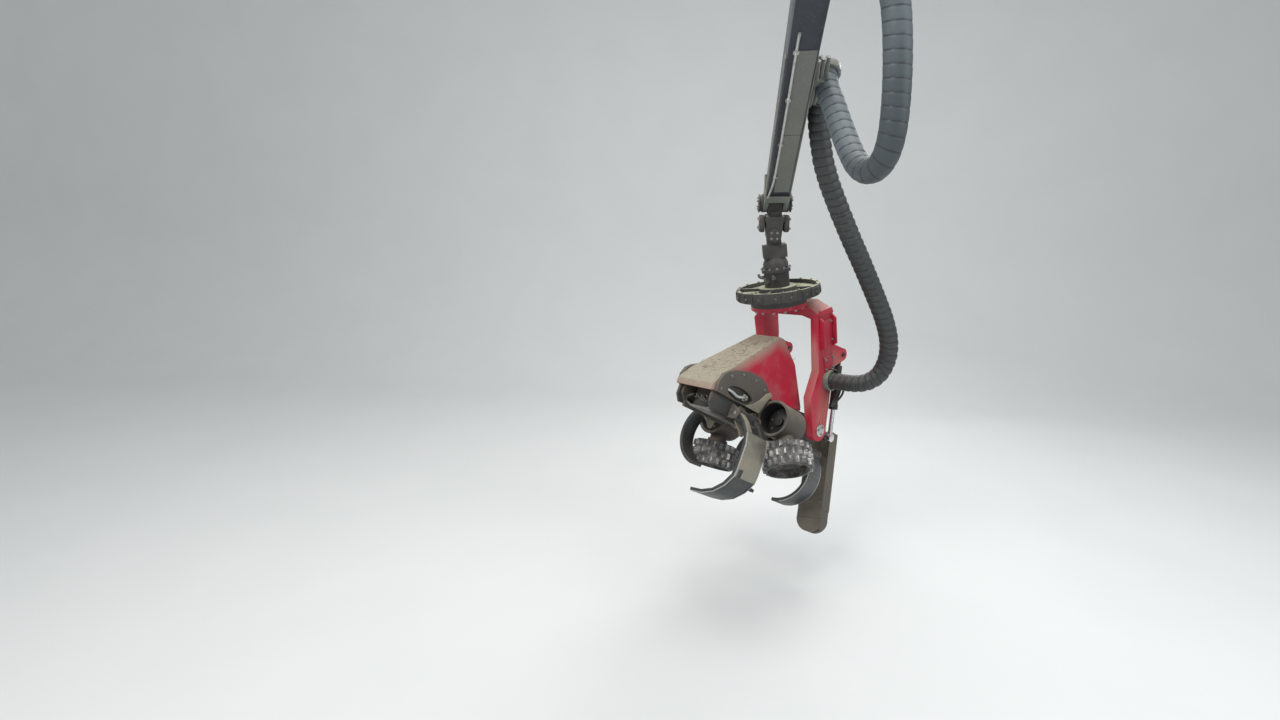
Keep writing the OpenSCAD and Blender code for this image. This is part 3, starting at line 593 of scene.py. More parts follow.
def lathe(bm, outline, centre=(0, 0, 0), axis="Z", sides=32):
    """A closed outline of (radius, height) pairs, revolved about an axis."""
    place = Matrix.Translation(centre) @ ROUND[axis]
    rings = []
    for k in range(sides):
        a = 2 * math.pi * k / sides
        rings.append([bm.verts.new(place @ Vector((r * math.cos(a), r * math.sin(a), h)))
                      for r, h in outline])
    for here, there in zip(rings, rings[1:] + rings[:1]):
        for i in range(len(outline)):
            j = (i + 1) % len(outline)
            if max(outline[i][0], outline[j][0]) >= TINY:
                bm.faces.new([here[i], there[i], there[j], here[j]])
    bmesh.ops.remove_doubles(bm, verts=bm.verts, dist=TINY)
    flat = [f for f in bm.faces if f.calc_area() < TINY ** 2]
    bmesh.ops.delete(bm, geom=flat, context="FACES_ONLY")
    bmesh.ops.recalc_face_normals(bm, faces=bm.faces)


def cylinder(bm, radius, start, end, centre=(0, 0, 0), axis="Z", sides=24):
    lathe(bm, [(0, start), (radius, start), (radius, end), (0, end)], centre, axis, sides)


def outline_at(bm, outline, across, plane):
    """The points of an outline in a plane, at a position across it."""
    return [bm.verts.new((u, across, v) if plane == "XZ" else (across, u, v)) for u, v in outline]


def walls(bm, loops):
    """Faces between each closed loop of points and the next."""
    n = len(loops[0])
    return [bm.faces.new([a[i], b[i], b[(i + 1) % n], a[(i + 1) % n]])
            for a, b in zip(loops, loops[1:]) for i in range(n)]


def plate(bm, outline, start, end, plane="XZ"):
    """An outline in a plane, with its thickness from start to end along the third axis."""
    lower, upper = (outline_at(bm, outline, w, plane) for w in (start, end))
    faces = [bm.faces.new(lower), bm.faces.new(upper[::-1]), *walls(bm, [lower, upper])]
    bmesh.ops.recalc_face_normals(bm, faces=faces)


def ring_plate(bm, outer, inner, start, end, plane="XZ"):
    """Two outlines with as many points each: a plate with a window."""
    loops = [outline_at(bm, line, w, plane)
             for line, w in ((outer, start), (outer, end), (inner, end), (inner, start))]
    bmesh.ops.recalc_face_normals(bm, faces=walls(bm, loops + loops[:1]))


def bent_plate(bm, line, xs, thick, keep=lambda row, column: True):
    """A plate bent along (y, z) points of its outer face, between positions along x; keep drops its cells."""
    rows = [[bm.verts.new((x, y, z)) for x in xs] for y, z in line]
    faces = [bm.faces.new((here[j], there[j], there[j + 1], here[j + 1]))
             for i, (here, there) in enumerate(zip(rows, rows[1:]))
             for j in range(len(xs) - 1) if keep(i, j)]
    inner = {}
    for i, (y, z) in enumerate(line):
        before, after = line[max(i - 1, 0)], line[min(i + 1, len(line) - 1)]
        along = Vector((after[0] - before[0], after[1] - before[1])).normalized()
        for j, x in enumerate(xs):
            inner[rows[i][j]] = bm.verts.new((x, y + along[1] * thick, z - along[0] * thick))
    rim = [e for f in faces for e in f.edges if len(e.link_faces) == 1]
    for face in faces:
        bm.faces.new([inner[v] for v in reversed(face.verts)])
    for edge in rim:
        a, b = edge.verts
        bm.faces.new((a, b, inner[b], inner[a]))
    bmesh.ops.delete(bm, geom=[v for v in bm.verts if not v.link_faces], context="VERTS")
    bmesh.ops.recalc_face_normals(bm, faces=bm.faces)


def smooth_path(points, steps):
    """A Catmull-Rom curve through the points."""
    points = [Vector(p) for p in points]
    line = []
    for i in range(len(points) - 1):
        p0, p1 = points[max(i - 1, 0)], points[i]
        p2, p3 = points[i + 1], points[min(i + 2, len(points) - 1)]
        for k in range(steps):
            t = k / steps
            line.append(0.5 * ((2 * p1) + (p2 - p0) * t + (2 * p0 - 5 * p1 + 4 * p2 - p3) * t * t
                               + (3 * p1 - p0 - 3 * p2 + p3) * t ** 3))
    return line + [points[-1]]


def line_length(points):
    return sum((b - a).length for a, b in zip(points, points[1:]))


def even_path(points, gap):
    """The same line with a point every gap, and both ends kept."""
    length = line_length(points)
    count = max(2, round(length / gap))
    out, run, i = [], 0.0, 0
    for k in range(count + 1):
        wanted = length * k / count
        while i < len(points) - 2 and run + (points[i + 1] - points[i]).length < wanted:
            run += (points[i + 1] - points[i]).length
            i += 1
        span = (points[i + 1] - points[i]).length
        out.append(points[i].lerp(points[i + 1], min(1, max(0, (wanted - run) / span))))
    return out


def sweep(bm, path, radius_at, sides, uv=None):
    """A closed tube along a path, whose radius may depend on the length and the angle.

    uv is the length that one turn of a wrap takes up: the map on the tube follows the wrap."""
    across = None
    rings, run = [], 0.0
    for i, p in enumerate(path):
        ahead = (path[min(i + 1, len(path) - 1)] - path[max(i - 1, 0)]).normalized()
        if across is None:
            across = ahead.cross(Vector((0.31, -0.62, 0.72))).normalized()
        across = (across - ahead * across.dot(ahead)).normalized()
        up = ahead.cross(across)
        if i:
            run += (p - path[i - 1]).length
        ring = []
        for k in range(sides):
            a = 2 * math.pi * k / sides
            ring.append(bm.verts.new(p + radius_at(run, a) * (math.cos(a) * across + math.sin(a) * up)))
        rings.append((run, ring))
    layer = bm.loops.layers.uv.new("Along") if uv else None
    for (run_a, here), (run_b, there) in zip(rings, rings[1:]):
        for k in range(sides):
            j = (k + 1) % sides
            face = bm.faces.new([here[k], here[j], there[j], there[k]])
            if layer:
                for loop, u, v in zip(face.loops, (run_a, run_a, run_b, run_b), (k, k + 1, k + 1, k)):
                    loop[layer].uv = (u + uv * v / sides, v / sides)
    bm.faces.new(rings[0][1][::-1])
    bm.faces.new(rings[-1][1])


def rod(bm, path, radius, sides):
    sweep(bm, path, lambda run, angle: radius, sides)


def pipe(bm, points, radius, sides=10, steps=6):
    rod(bm, smooth_path(points, steps), radius, sides)


# Geometry Nodes: what repeats

def new_tree(name, inputs):
    """An empty tree and the outputs of its input node, by name."""
    tree = bpy.data.node_groups.new(name, "GeometryNodeTree")
    tree.interface.new_socket("Geometry", in_out="OUTPUT", socket_type="NodeSocketGeometry")
    for label, kind in {"Geometry": "Geometry", **inputs, "Material": "Material"}.items():
        tree.interface.new_socket(label, in_out="INPUT", socket_type="NodeSocket" + kind)
    return tree, tree.nodes.new("NodeGroupInput").outputs


def geo(tree, kind, sockets=None, settings=None, output=0):
    """A node with its sockets joined or set, and one of its outputs."""
    made = tree.nodes.new(kind)
    for key, value in (settings or {}).items():
        setattr(made, key, value)
    for key, value in (sockets or {}).items():
        if isinstance(value, bpy.types.NodeSocket):
            tree.links.new(value, made.inputs[key])
        else:
            made.inputs[key].default_value = value
    return made.outputs[output]


def facing_along(tree, vector, axis):
    return geo(tree, "FunctionNodeAlignRotationToVector", {"Vector": vector}, {"axis": axis})


def copies_on(tree, given, sockets):
    """Copies on points, made real and painted, as the tree's result."""
    copies = geo(tree, "GeometryNodeInstanceOnPoints", sockets)
    real = geo(tree, "GeometryNodeRealizeInstances", {0: copies})
    painted = geo(tree, "GeometryNodeSetMaterial", {0: real, 2: given["Material"]})
    tree.links.new(painted, tree.nodes.new("NodeGroupOutput").inputs[0])
    return tree


def ring_tree():
    """Copies of the host's mesh round a circle, each facing outwards."""
    tree, given = new_tree("Round a circle", {"Count": "Int", "Radius": "Float"})
    circle = geo(tree, "GeometryNodeMeshCircle", {0: given["Count"], 1: given["Radius"]})
    outward = facing_along(tree, geo(tree, "GeometryNodeInputPosition"), "X")
    return copies_on(tree, given, {"Points": circle, "Instance": given["Geometry"], "Rotation": outward})


def path_tree():
    """Copies of a mesh along the host's line, each turned along it."""
    tree, given = new_tree("Along a line", {"Spacing": "Float", "Copy": "Object"})
    line = geo(tree, "GeometryNodeMeshToCurve", {0: given["Geometry"]})
    spots = geo(tree, "GeometryNodeCurveToPoints", {0: line, "Length": given["Spacing"]}, {"mode": "LENGTH"})
    along = facing_along(tree, spots.node.outputs["Tangent"], "Z")
    copy = geo(tree, "GeometryNodeObjectInfo", {"Object": given["Copy"]}, output="Geometry")
    return copies_on(tree, given, {"Points": spots, "Instance": copy, "Rotation": along})


def drum_tree():
    """Rows of the host's mesh round a drum, each row half a step on from the last."""
    tree, given = new_tree("Rows on a drum", {
        "Teeth": "Int", "Rows": "Int", "Radius": "Float", "Pitch": "Float"})

    def maths(operation, a, b=0.0):
        return geo(tree, "ShaderNodeMath", {0: a, 1: b}, {"operation": operation})

    points = geo(tree, "GeometryNodePoints", {"Count": maths("MULTIPLY", given["Teeth"], given["Rows"])})
    index = geo(tree, "GeometryNodeInputIndex")
    row = maths("FLOOR", maths("DIVIDE", index, given["Teeth"]))
    step = maths("ADD", index, maths("MULTIPLY", row, 0.5))
    angle = maths("DIVIDE", maths("MULTIPLY", step, 2 * math.pi), given["Teeth"])
    middle = maths("MULTIPLY", maths("SUBTRACT", given["Rows"], 1.0), 0.5)
    height = maths("MULTIPLY", maths("SUBTRACT", row, middle), given["Pitch"])
    across = maths("MULTIPLY", maths("COSINE", angle), given["Radius"])
    along = maths("MULTIPLY", maths("SINE", angle), given["Radius"])
    spot = geo(tree, "ShaderNodeCombineXYZ", {0: across, 1: along, 2: height})
    placed = geo(tree, "GeometryNodeSetPosition", {0: points, "Position": spot})
    outward = facing_along(tree, geo(tree, "ShaderNodeCombineXYZ", {0: across, 1: along, 2: 0.0}), "X")
    return copies_on(tree, given, {"Points": placed, "Instance": given["Geometry"], "Rotation": outward})


def litter_tree():
    """Needles that lie on the host's upper faces."""
    tree, given = new_tree("Needles", {"Density": "Float", "Seed": "Int", "Length": "Float"})
    spots = geo(tree, "GeometryNodeDistributePointsOnFaces", {
        "Mesh": given["Geometry"], "Density": given["Density"], "Seed": given["Seed"]})
    needle = geo(tree, "GeometryNodeMeshCone", {
        "Vertices": 4, "Radius Top": 0.0004, "Radius Bottom": 0.0014, "Depth": given["Length"]})
    tilt = geo(tree, "FunctionNodeRandomValue", {
        0: (1.35, 0.0, 0.0), 1: (1.6, 0.3, 6.28), 8: given["Seed"]}, {"data_type": "FLOAT_VECTOR"})
    lying = geo(tree, "FunctionNodeRotateRotation", {
        0: spots.node.outputs["Rotation"], 1: tilt}, {"rotation_space": "LOCAL"})
    grown = geo(tree, "FunctionNodeRandomValue", {
        2: 0.5, 3: 1.3, 8: given["Seed"]}, {"data_type": "FLOAT"}, output=1)
    return copies_on(tree, given, {"Points": spots, "Instance": needle, "Rotation": lying, "Scale": grown})


MAKERS = {"ring": ring_tree, "path": path_tree, "drum": drum_tree, "litter": litter_tree}
TREES = {}


def repeat(name, bm, tree, values, material, body, place):
    """Runs a tree on a host mesh and keeps the result as a plain mesh in its place."""
    host = bpy.data.objects.new(name + "_host", mesh_of(name + "_host", bm))
    bpy.context.scene.collection.objects.link(host)
    if tree not in TREES:
        TREES[tree] = MAKERS[tree]()
    modifier = host.modifiers.new("Repeat", "NODES")
    modifier.node_group = TREES[tree]
    sockets = {s.name: s.identifier for s in TREES[tree].interface.items_tree if s.in_out == "INPUT"}
    for key, value in dict(values, Material=MATERIALS[material]).items():
        modifier[sockets[key]] = value
    bpy.context.view_layer.update()
    made = bpy.data.meshes.new_from_object(host.evaluated_get(bpy.context.evaluated_depsgraph_get()))
    bpy.data.objects.remove(host)
    made.transform(place)
    if place.to_3x3().determinant() < 0:
        made.flip_normals()
    made.materials.clear()
    made.name = name
    return add_piece(name, made, material, body)


def bolt_mesh(radius, height, axis="Z"):
    """A hexagon head on a washer."""
    bm = bmesh.new()
    cylinder(bm, radius * 1.35, -0.001, height * 0.25, axis=axis, sides=16)
    cylinder(bm, radius, height * 0.25, height, axis=axis, sides=6)
    break_edges(bm, radius * 0.08)
    return bm


def bolts(name, spots, radius, height, axis, body, place):
    """Bolts at single places of one body."""
    bm = bmesh.new()
    for spot in spots:
        take_in(bm, bolt_mesh(radius, height, axis), Matrix.Translation(spot))
    return finish_object(name, bm, "bolt", body, place)


def bolt_pair(name, spots, radius, height, axis, body, place):
    """Bolts that face along an axis, and the same ones mirrored to the far side."""
    for side, end in SIDES.items():
        bolts(name + "_" + end, spots, radius, height, axis, body, place @ mirrored(side, axis))


def bolt_ring(name, radius, height, count, circle, body, place):
    """Bolts round a circle of one body."""
    return repeat(name, bolt_mesh(radius, height), "ring", {"Count": count, "Radius": circle},
                  "bolt", body, place)


def circle_points(radius, count, centre=(0, 0), start=0.0, span=360.0):
    """Points on a circle, or on an arc of it with both its ends."""
    steps = count if span == 360 else count - 1
    angles = [math.radians(start + span * k / steps) for k in range(count)]
    return [(centre[0] + radius * math.cos(a), centre[1] + radius * math.sin(a)) for a in angles]


# Outlines along and up the head: the cheek, what shows under it, and the fork on it
CHEEK = [
    (0.560, 0.302), (0.500, 0.302), (0.420, 0.302), (0.330, 0.302), (0.240, 0.302), (0.150, 0.302),
    (0.135, 0.350), (0.120, 0.395), (0.112, 0.445), (0.150, 0.482), (0.200, 0.508), (0.262, 0.520),
    (0.330, 0.520), (0.395, 0.510), (0.455, 0.493), (0.505, 0.478), (0.555, 0.452), (0.595, 0.420),
    (0.617, 0.365), (0.612, 0.302)]
CHEEK_FOOT = [
    (0.330, 0.301), (0.362, 0.245), (0.330, 0.197), (0.450, 0.198), (0.575, 0.190), (0.612, 0.235),
    (0.612, 0.301)]
FORK = [
    (0.100, 0.448), (0.128, 0.410), (0.172, 0.310), (0.183, 0.302), (0.330, 0.302), (0.300, 0.318),
    (0.250, 0.345), (0.205, 0.385), (0.165, 0.440), (0.130, 0.462)]
FORK_FOOT = [
    (0.150, 0.301), (0.178, 0.200), (0.205, 0.125), (0.222, 0.118), (0.255, 0.150), (0.330, 0.197),
    (0.362, 0.245), (0.330, 0.301), (0.265, 0.290), (0.255, 0.245), (0.225, 0.235), (0.200, 0.290)]
# The near front knife's outer face, across and up the head
NEAR_BLADE = [
    (0.205, 0.251), (0.268, 0.204), (0.318, 0.142), (0.338, 0.070), (0.338, -0.085), (0.331, -0.135),
    (0.286, -0.205), (0.216, -0.264), (0.132, -0.297), (0.043, -0.308)]


# Operators: one for each piece or group of like pieces

class HARVESTER_OT_stage(bpy.types.Operator):
    """Camera, lamps, floor and backdrop"""
    bl_idname = "harvester.stage"
    bl_label = "Stage"

    def execute(self, context):
        scene = context.scene
        make_materials(scene)
        camera = bpy.data.cameras.new("Camera")
        camera.sensor_width, camera.lens, camera.clip_start = SENSOR, LENS, CLIP_START
        scene.camera = bpy.data.objects.new("Camera", camera)
        scene.camera.matrix_world = looking(CAMERA_AT, CAMERA_WAY)
        scene.collection.objects.link(scene.camera)

        for name, (place, power, width, tint) in LAMPS.items():
            lamp = bpy.data.lights.new(name, "AREA")
            lamp.energy, lamp.size, lamp.color = power, width, tint
            held = bpy.data.objects.new(name, lamp)
            held.matrix_world = looking(place, LAMPS_AIM - Vector(place))
            scene.collection.objects.link(held)

        scene.world = bpy.data.worlds.new("World")
        scene.world.use_nodes = True
        sky = scene.world.node_tree.nodes["Background"]
        sky.inputs["Color"].default_value = (0.90, 0.93, 0.96, 1)
        sky.inputs["Strength"].default_value = 0.55
        scene.view_settings.view_transform = "Standard"

        f = Finish("Pale floor")
        f.put("Base Color", f.mix(f.noise(1.2, 3.0, 0.5), (0.70, 0.72, 0.71), (0.76, 0.77, 0.76)))
        f.put("Roughness", 0.9)
        bm = bmesh.new()
        bend_y, bend_z = FLOOR_BACK - BACKDROP_BEND, FLOOR_Z + BACKDROP_BEND
        outline = [(FLOOR_FRONT, FLOOR_Z), (bend_y, FLOOR_Z)]
        outline += circle_points(BACKDROP_BEND, 15, (bend_y, bend_z), -84, 84)
        outline.append((FLOOR_BACK, FLOOR_Z + BACKDROP_H))
        rows = [[bm.verts.new((x, y, z)) for y, z in outline] for x in (-FLOOR_HALF, FLOOR_HALF)]
        for i in range(len(outline) - 1):
            bm.faces.new([rows[0][i], rows[1][i], rows[1][i + 1], rows[0][i + 1]])
        mesh = mesh_of("Floor and backdrop", bm)
        mesh.materials.append(f.material)
        smooth_by_angle(mesh)
        floor = bpy.data.objects.new("Floor and backdrop", mesh)
        scene.collection.objects.link(floor)
        return {"FINISHED"}


class HARVESTER_OT_hoses(bpy.types.Operator):
    """The wrapped upper hose loop and the lower hose in its three stretches"""
    bl_idname = "harvester.hoses"
    bl_label = "Hoses"

    def execute(self, context):
        sizes = context.scene.head_sizes
        smooth = smooth_path(LOOP_ROUTE, 8)
        line = even_path(smooth, 0.0065)

        def wrapped(run, angle):
            """Each turn of the wrap laps over the one before it."""
            part = (run / sizes.wrap + angle / (2 * math.pi)) % 1.0
            edge = min(part, 1 - part)
            return HOSE_R - WRAP_SEAM * max(0.0, 1 - edge / 0.10) - WRAP_LAP * part

        bm = bmesh.new()
        sweep(bm, line, wrapped, 28, uv=sizes.wrap)
        loop = finish_object("upper_hose_loop", bm, "sleeve", "root")
        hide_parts("hose_loop")
        line_length(smooth)
        line[::4] + [line[-1]]

        low = even_path(smooth_path(LOW_ROUTE, 8), 0.006)
        marks = [min(range(len(low)), key=lambda i: (low[i] - LOW_ROUTE[k]).length) for k in LOW_BREAKS]
        before = 0.0

        def ribbed(run, angle):
            """A groove runs round the hose like a thread."""
            part = ((run + before) / sizes.rib + angle / (2 * math.pi)) % 1.0
            return HOSE_R - RIB_GROOVE * (0.5 + 0.5 * math.cos(2 * math.pi * part)) ** 4

        for (node, first, second), a, b in zip(LOW_STRETCHES, marks, marks[1:]):
            part = low[a:b + 1]
            length = line_length(part)
            bm = bmesh.new()
            sweep(bm, part, ribbed, 24, uv=sizes.rib)
            piece = add_object("lower_" + node, mesh_of("lower_" + node, bm), "hose", 50)
            start, end = part[2], part[-3]
            if node == "hose_hanger":
                # For the hanger stretch, start is set back from its end along the winding way; nothing uses
                # start or end after this
                start = end - WINDING_WAY.normalized() * WINDING_LENGTH
            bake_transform(piece)
            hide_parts(node)
            part[::3] + [part[-1]]
            before += length
        return {"FINISHED"}


class HARVESTER_OT_boom(bpy.types.Operator):
    """The boom extension with its nose, strips, welds and pipes"""
    bl_idname = "harvester.boom"
    bl_label = "Boom extension"

    def execute(self, context):
        dress_all("root", context.scene.head_sizes.bevel, (
            ("boom_beam", "boom", "boom_paint", 2), ("boom_nose", "nose", "nose_paint", 1),
            ("boom_edge_strips", "steel", "strip_steel", 0.6),
            ("hose_bracket", "nose", "nose_paint", 0.8), ("loop_clamp", "nose", "nose_paint", 0.8),
            ("swing_brakes", "casting", "nose_paint", 0.6)))

        def depth(y):
            """How deep the tapering boom is, from its middle line, at a distance along it."""
            return BEAM_DEPTH - BEAM_TAPER * (y - BEAM_START) / BEAM_RUN

        bm = bmesh.new()
        for x in (-0.040, -0.022, 0.022, 0.040):
            pipe(bm, [(x, 0.30, 0.100), (x, 0.9, 0.091), (x, 1.5, 0.081), (x, 1.64, 0.079)], 0.006, 8, 3)
        for y in (0.45, 0.85, 1.25, 1.6):
            block(bm, (-0.052, y - 0.009, depth(y) - 0.001), (0.052, y + 0.009, depth(y) + 0.009))
        finish_object("boom_pipes", bm, "black", "root", BOOM, turned=True)

        spots = [(0.1075, EXT_LEN + y, z) for y, z in circle_points(0.036, 6)]
        bolt_pair("brake_bolts", spots, 0.007, 0.009, "X", "root", BOOM)

        # A dusty cover plate under the boom, with a bright pipe along its edge
        bm = bmesh.new()
        for start, end in ((0.56, 1.125), (1.13, 1.66)):
            a, b = -depth(start), -depth(end)
            plate(bm, [(start, a - 0.0045), (end, b - 0.0045), (end, b + 0.004), (start, a + 0.004)],
                  -0.030, 0.061, "YZ")
        finish_object("boom_cover", bm, "nose", "root", BOOM)
        bm = bmesh.new()
        pipe(bm, [(-0.030, 0.48, -0.094), (-0.034, 0.52, -0.103), (-0.035, 1.10, -0.093),
                  (-0.040, 1.50, -0.088), (-0.052, 1.64, -0.088), (-0.062, 1.72, -0.080)], 0.007)
        for y in (0.56, 0.86, 1.20, 1.50):
            block(bm, (-0.048, y - 0.010, -0.118 + 0.018 * y), (-0.022, y + 0.010, -0.085 + 0.012 * y))
        finish_object("edge_pipe", bm, "bright", "root", BOOM, turned=True)

        # Short tubes beside the boom run down to a dark collar on the lower hose
        bm = bmesh.new()
        for x, z in ((0.090, -0.030), (0.114, -0.016), (0.138, -0.006)):
            pipe(bm, [(x, 0.70, z + 0.012), (x, 0.76, z), (x, 0.93, z), (x, 1.00, z + 0.02)], 0.010)
        block(bm, (0.072, 0.80, -0.046), (0.150, 0.83, 0.030))
        finish_object("bracket_tubes", bm, "nose", "root", BOOM, turned=True)
        bm = bmesh.new()
        way = (LOW_ROUTE[1] - LOW_ROUTE[0]).normalized()
        rod(bm, [LOW_ROUTE[0] + way * d for d in (0.012, 0.03, 0.05, 0.075, 0.095)], 0.066, 28)
        finish_object("hose_collar", bm, "casting", "root", turned=True)

        # Eye pipes and bolts on the two clamp rings
        bm = bmesh.new()
        loop_end, low_start = LOOP_ROUTE[-1], LOW_ROUTE[0]
        pipe(bm, [loop_end + Vector(p) for p in (
            (-0.030, -0.050, 0.062), (-0.070, -0.01, 0.055), (-0.090, 0.06, 0.010))], 0.010)
        pipe(bm, [low_start + Vector(p) for p in (
            (0.000, 0.004, 0.070), (-0.040, -0.030, 0.078), (-0.092, -0.020, 0.030))], 0.009)
        for x, z in ((-0.062, 0.0), (0.062, 0.0), (0.0, 0.062)):
            cylinder(bm, 0.010, -0.016, 0.012, loop_end + Vector((x, -0.012, z)), "Y", 6)
        for x, z in ((0.062, 0.0), (0.0, 0.062), (0.0, -0.062)):
            cylinder(bm, 0.010, -0.014, 0.014, low_start + Vector((x, 0.006, z)), "Y", 6)
        finish_object("hose_bracket_parts", bm, "bright", "root", turned=True)

        bm = bmesh.new()
        weld = [Vector((x, EXT_LEN - 0.192, z)) for x, z in (
            (-0.079, -0.083), (0.079, -0.083), (0.079, 0.083), (-0.079, 0.083))]
        for a, b in zip(weld, weld[1:] + weld[:1]):
            rod(bm, [a, a.lerp(b, 0.5), b], 0.005, 8)
        finish_object("nose_weld", bm, "nose", "root", BOOM)
        return {"FINISHED"}


class HARVESTER_OT_link(bpy.types.Operator):
    """The link between the boom's nose and the rotator, with pins and brake bolts"""
    bl_idname = "harvester.link"
    bl_label = "Link"

    def execute(self, context):
        width = context.scene.head_sizes.bevel
        dress_all("link", width, (
            ("link", "casting", "cast_dark", 2), ("tip_pin", "bright", "pin_steel", 0.5),
            ("lean_brakes", "casting", "cast_dark", 0.6)))
        dress_all("hanger", width, (("cross_pin", "bright", "pin_steel", 0.5),))

        bm = bmesh.new()
        for side in SIDES:
            plate(bm, [(-0.03, -0.082), (0.03, -0.082), (0.022, -0.05), (-0.022, -0.05)],
                  side * 0.044, side * 0.058)
            cylinder(bm, 0.015, 0.0, 0.012, (side * 0.02, side * 0.084, -0.10), "Y", 12)
        finish_object("link_ribs", bm, "casting", "link", LINK, 0.002, turned=True)

        # Cast side plates, through-bolted to the link's waist
        bm = bmesh.new()
        outline = [(-0.070, -0.088), (-0.050, -0.076), (0.050, -0.076), (0.070, -0.088), (0.080, -0.150),
                   (0.060, -0.185), (-0.060, -0.185), (-0.080, -0.150)]
        for side in SIDES:
            plate(bm, outline, side * 0.0625, side * 0.096, "YZ")
        finish_object("link_side_plates", bm, "casting", "link", LINK, 0.008, turned=True)

        spots = [(0.096, y, z) for y in (-0.052, 0.052) for z in (-0.100, -0.160)]
        bolt_pair("link_plate_bolts", spots, 0.009, 0.010, "X", "link", LINK)
        spots = [(x, 0.104, z - LINK_LEN) for x, z in circle_points(0.026, 4, start=45)]
        bolt_pair("lean_bolts", spots, 0.006, 0.008, "Y", "link", LINK)
        bolts("link_bolts", [(x, y, -0.084) for x in (-0.05, 0.05) for y in (-0.07, 0.07)],
              0.009, 0.011, "Z", "link", LINK)
        return {"FINISHED"}


class HARVESTER_OT_rotator(bpy.types.Operator):
    """The rotator with its collars and fittings, the guard disc and the flange"""
    bl_idname = "harvester.rotator"
    bl_label = "Rotator and guard disc"

    def execute(self, context):
        width, bolt = context.scene.head_sizes.bevel, context.scene.head_sizes.bolt
        dress_all("hanger", width, (("rotator", "casting", "cast_dark", 1.4),))
        dress_all("bracket", width, (
            ("guard_disc", "disc", "cast_dark", 1.2), ("rotator_flange", "casting", "cast_dark", 1)))
        collar = HANGER @ shift(0, 0, -0.226)
        bolt_ring("rotator_collar_bolts", 0.7 * bolt, 0.012, 12, 0.092, "hanger", collar)
        bolt_ring("disc_bolts", 0.6 * bolt, 0.007, 16, 0.268, "bracket", DISC @ shift(0, 0, 0.035))
        bolt_ring("disc_inner_bolts", 0.7 * bolt, 0.010, 10, 0.152, "bracket", DISC @ shift(0, 0, 0.005))

        bm = bmesh.new()
        for angle in (20, 110, 200, 290):
            rib = bmesh.new()
            block(rib, (0.135, -0.008, 0.004), (0.262, 0.008, 0.026))
            take_in(bm, rib, turn(angle, "Z"))
        finish_object("disc_ribs", bm, "disc", "bracket", DISC, 0.0015)
        bm = bmesh.new()
        block(bm, (-0.010, -0.013, -0.030), (0.007, 0.013, 0.024))
        break_edges(bm, 0.002)
        rim = {"Count": 24, "Radius": 0.279}
        repeat("disc_rim_lugs", bm, "ring", rim, "casting", "bracket", DISC)

        bm = bmesh.new()
        for angle, height in ((200, -0.275), (228, -0.30), (256, -0.28), (60, -0.29)):
            out = Vector((math.cos(math.radians(angle)), math.sin(math.radians(angle)), 0))
            base = Vector((0, 0, height)) + out * 0.08
            rod(bm, [base + out * d for d in (0, 0.012, 0.026)], 0.014, 6)
            rod(bm, [base + out * d + Vector((0, 0, up)) for d, up in (
                (0.02, 0), (0.034, 0), (0.044, 0.008), (0.05, 0.026))], 0.009, 10)
        finish_object("rotator_fittings", bm, "bolt", "hanger", HANGER, turned=True)
        return {"FINISHED"}


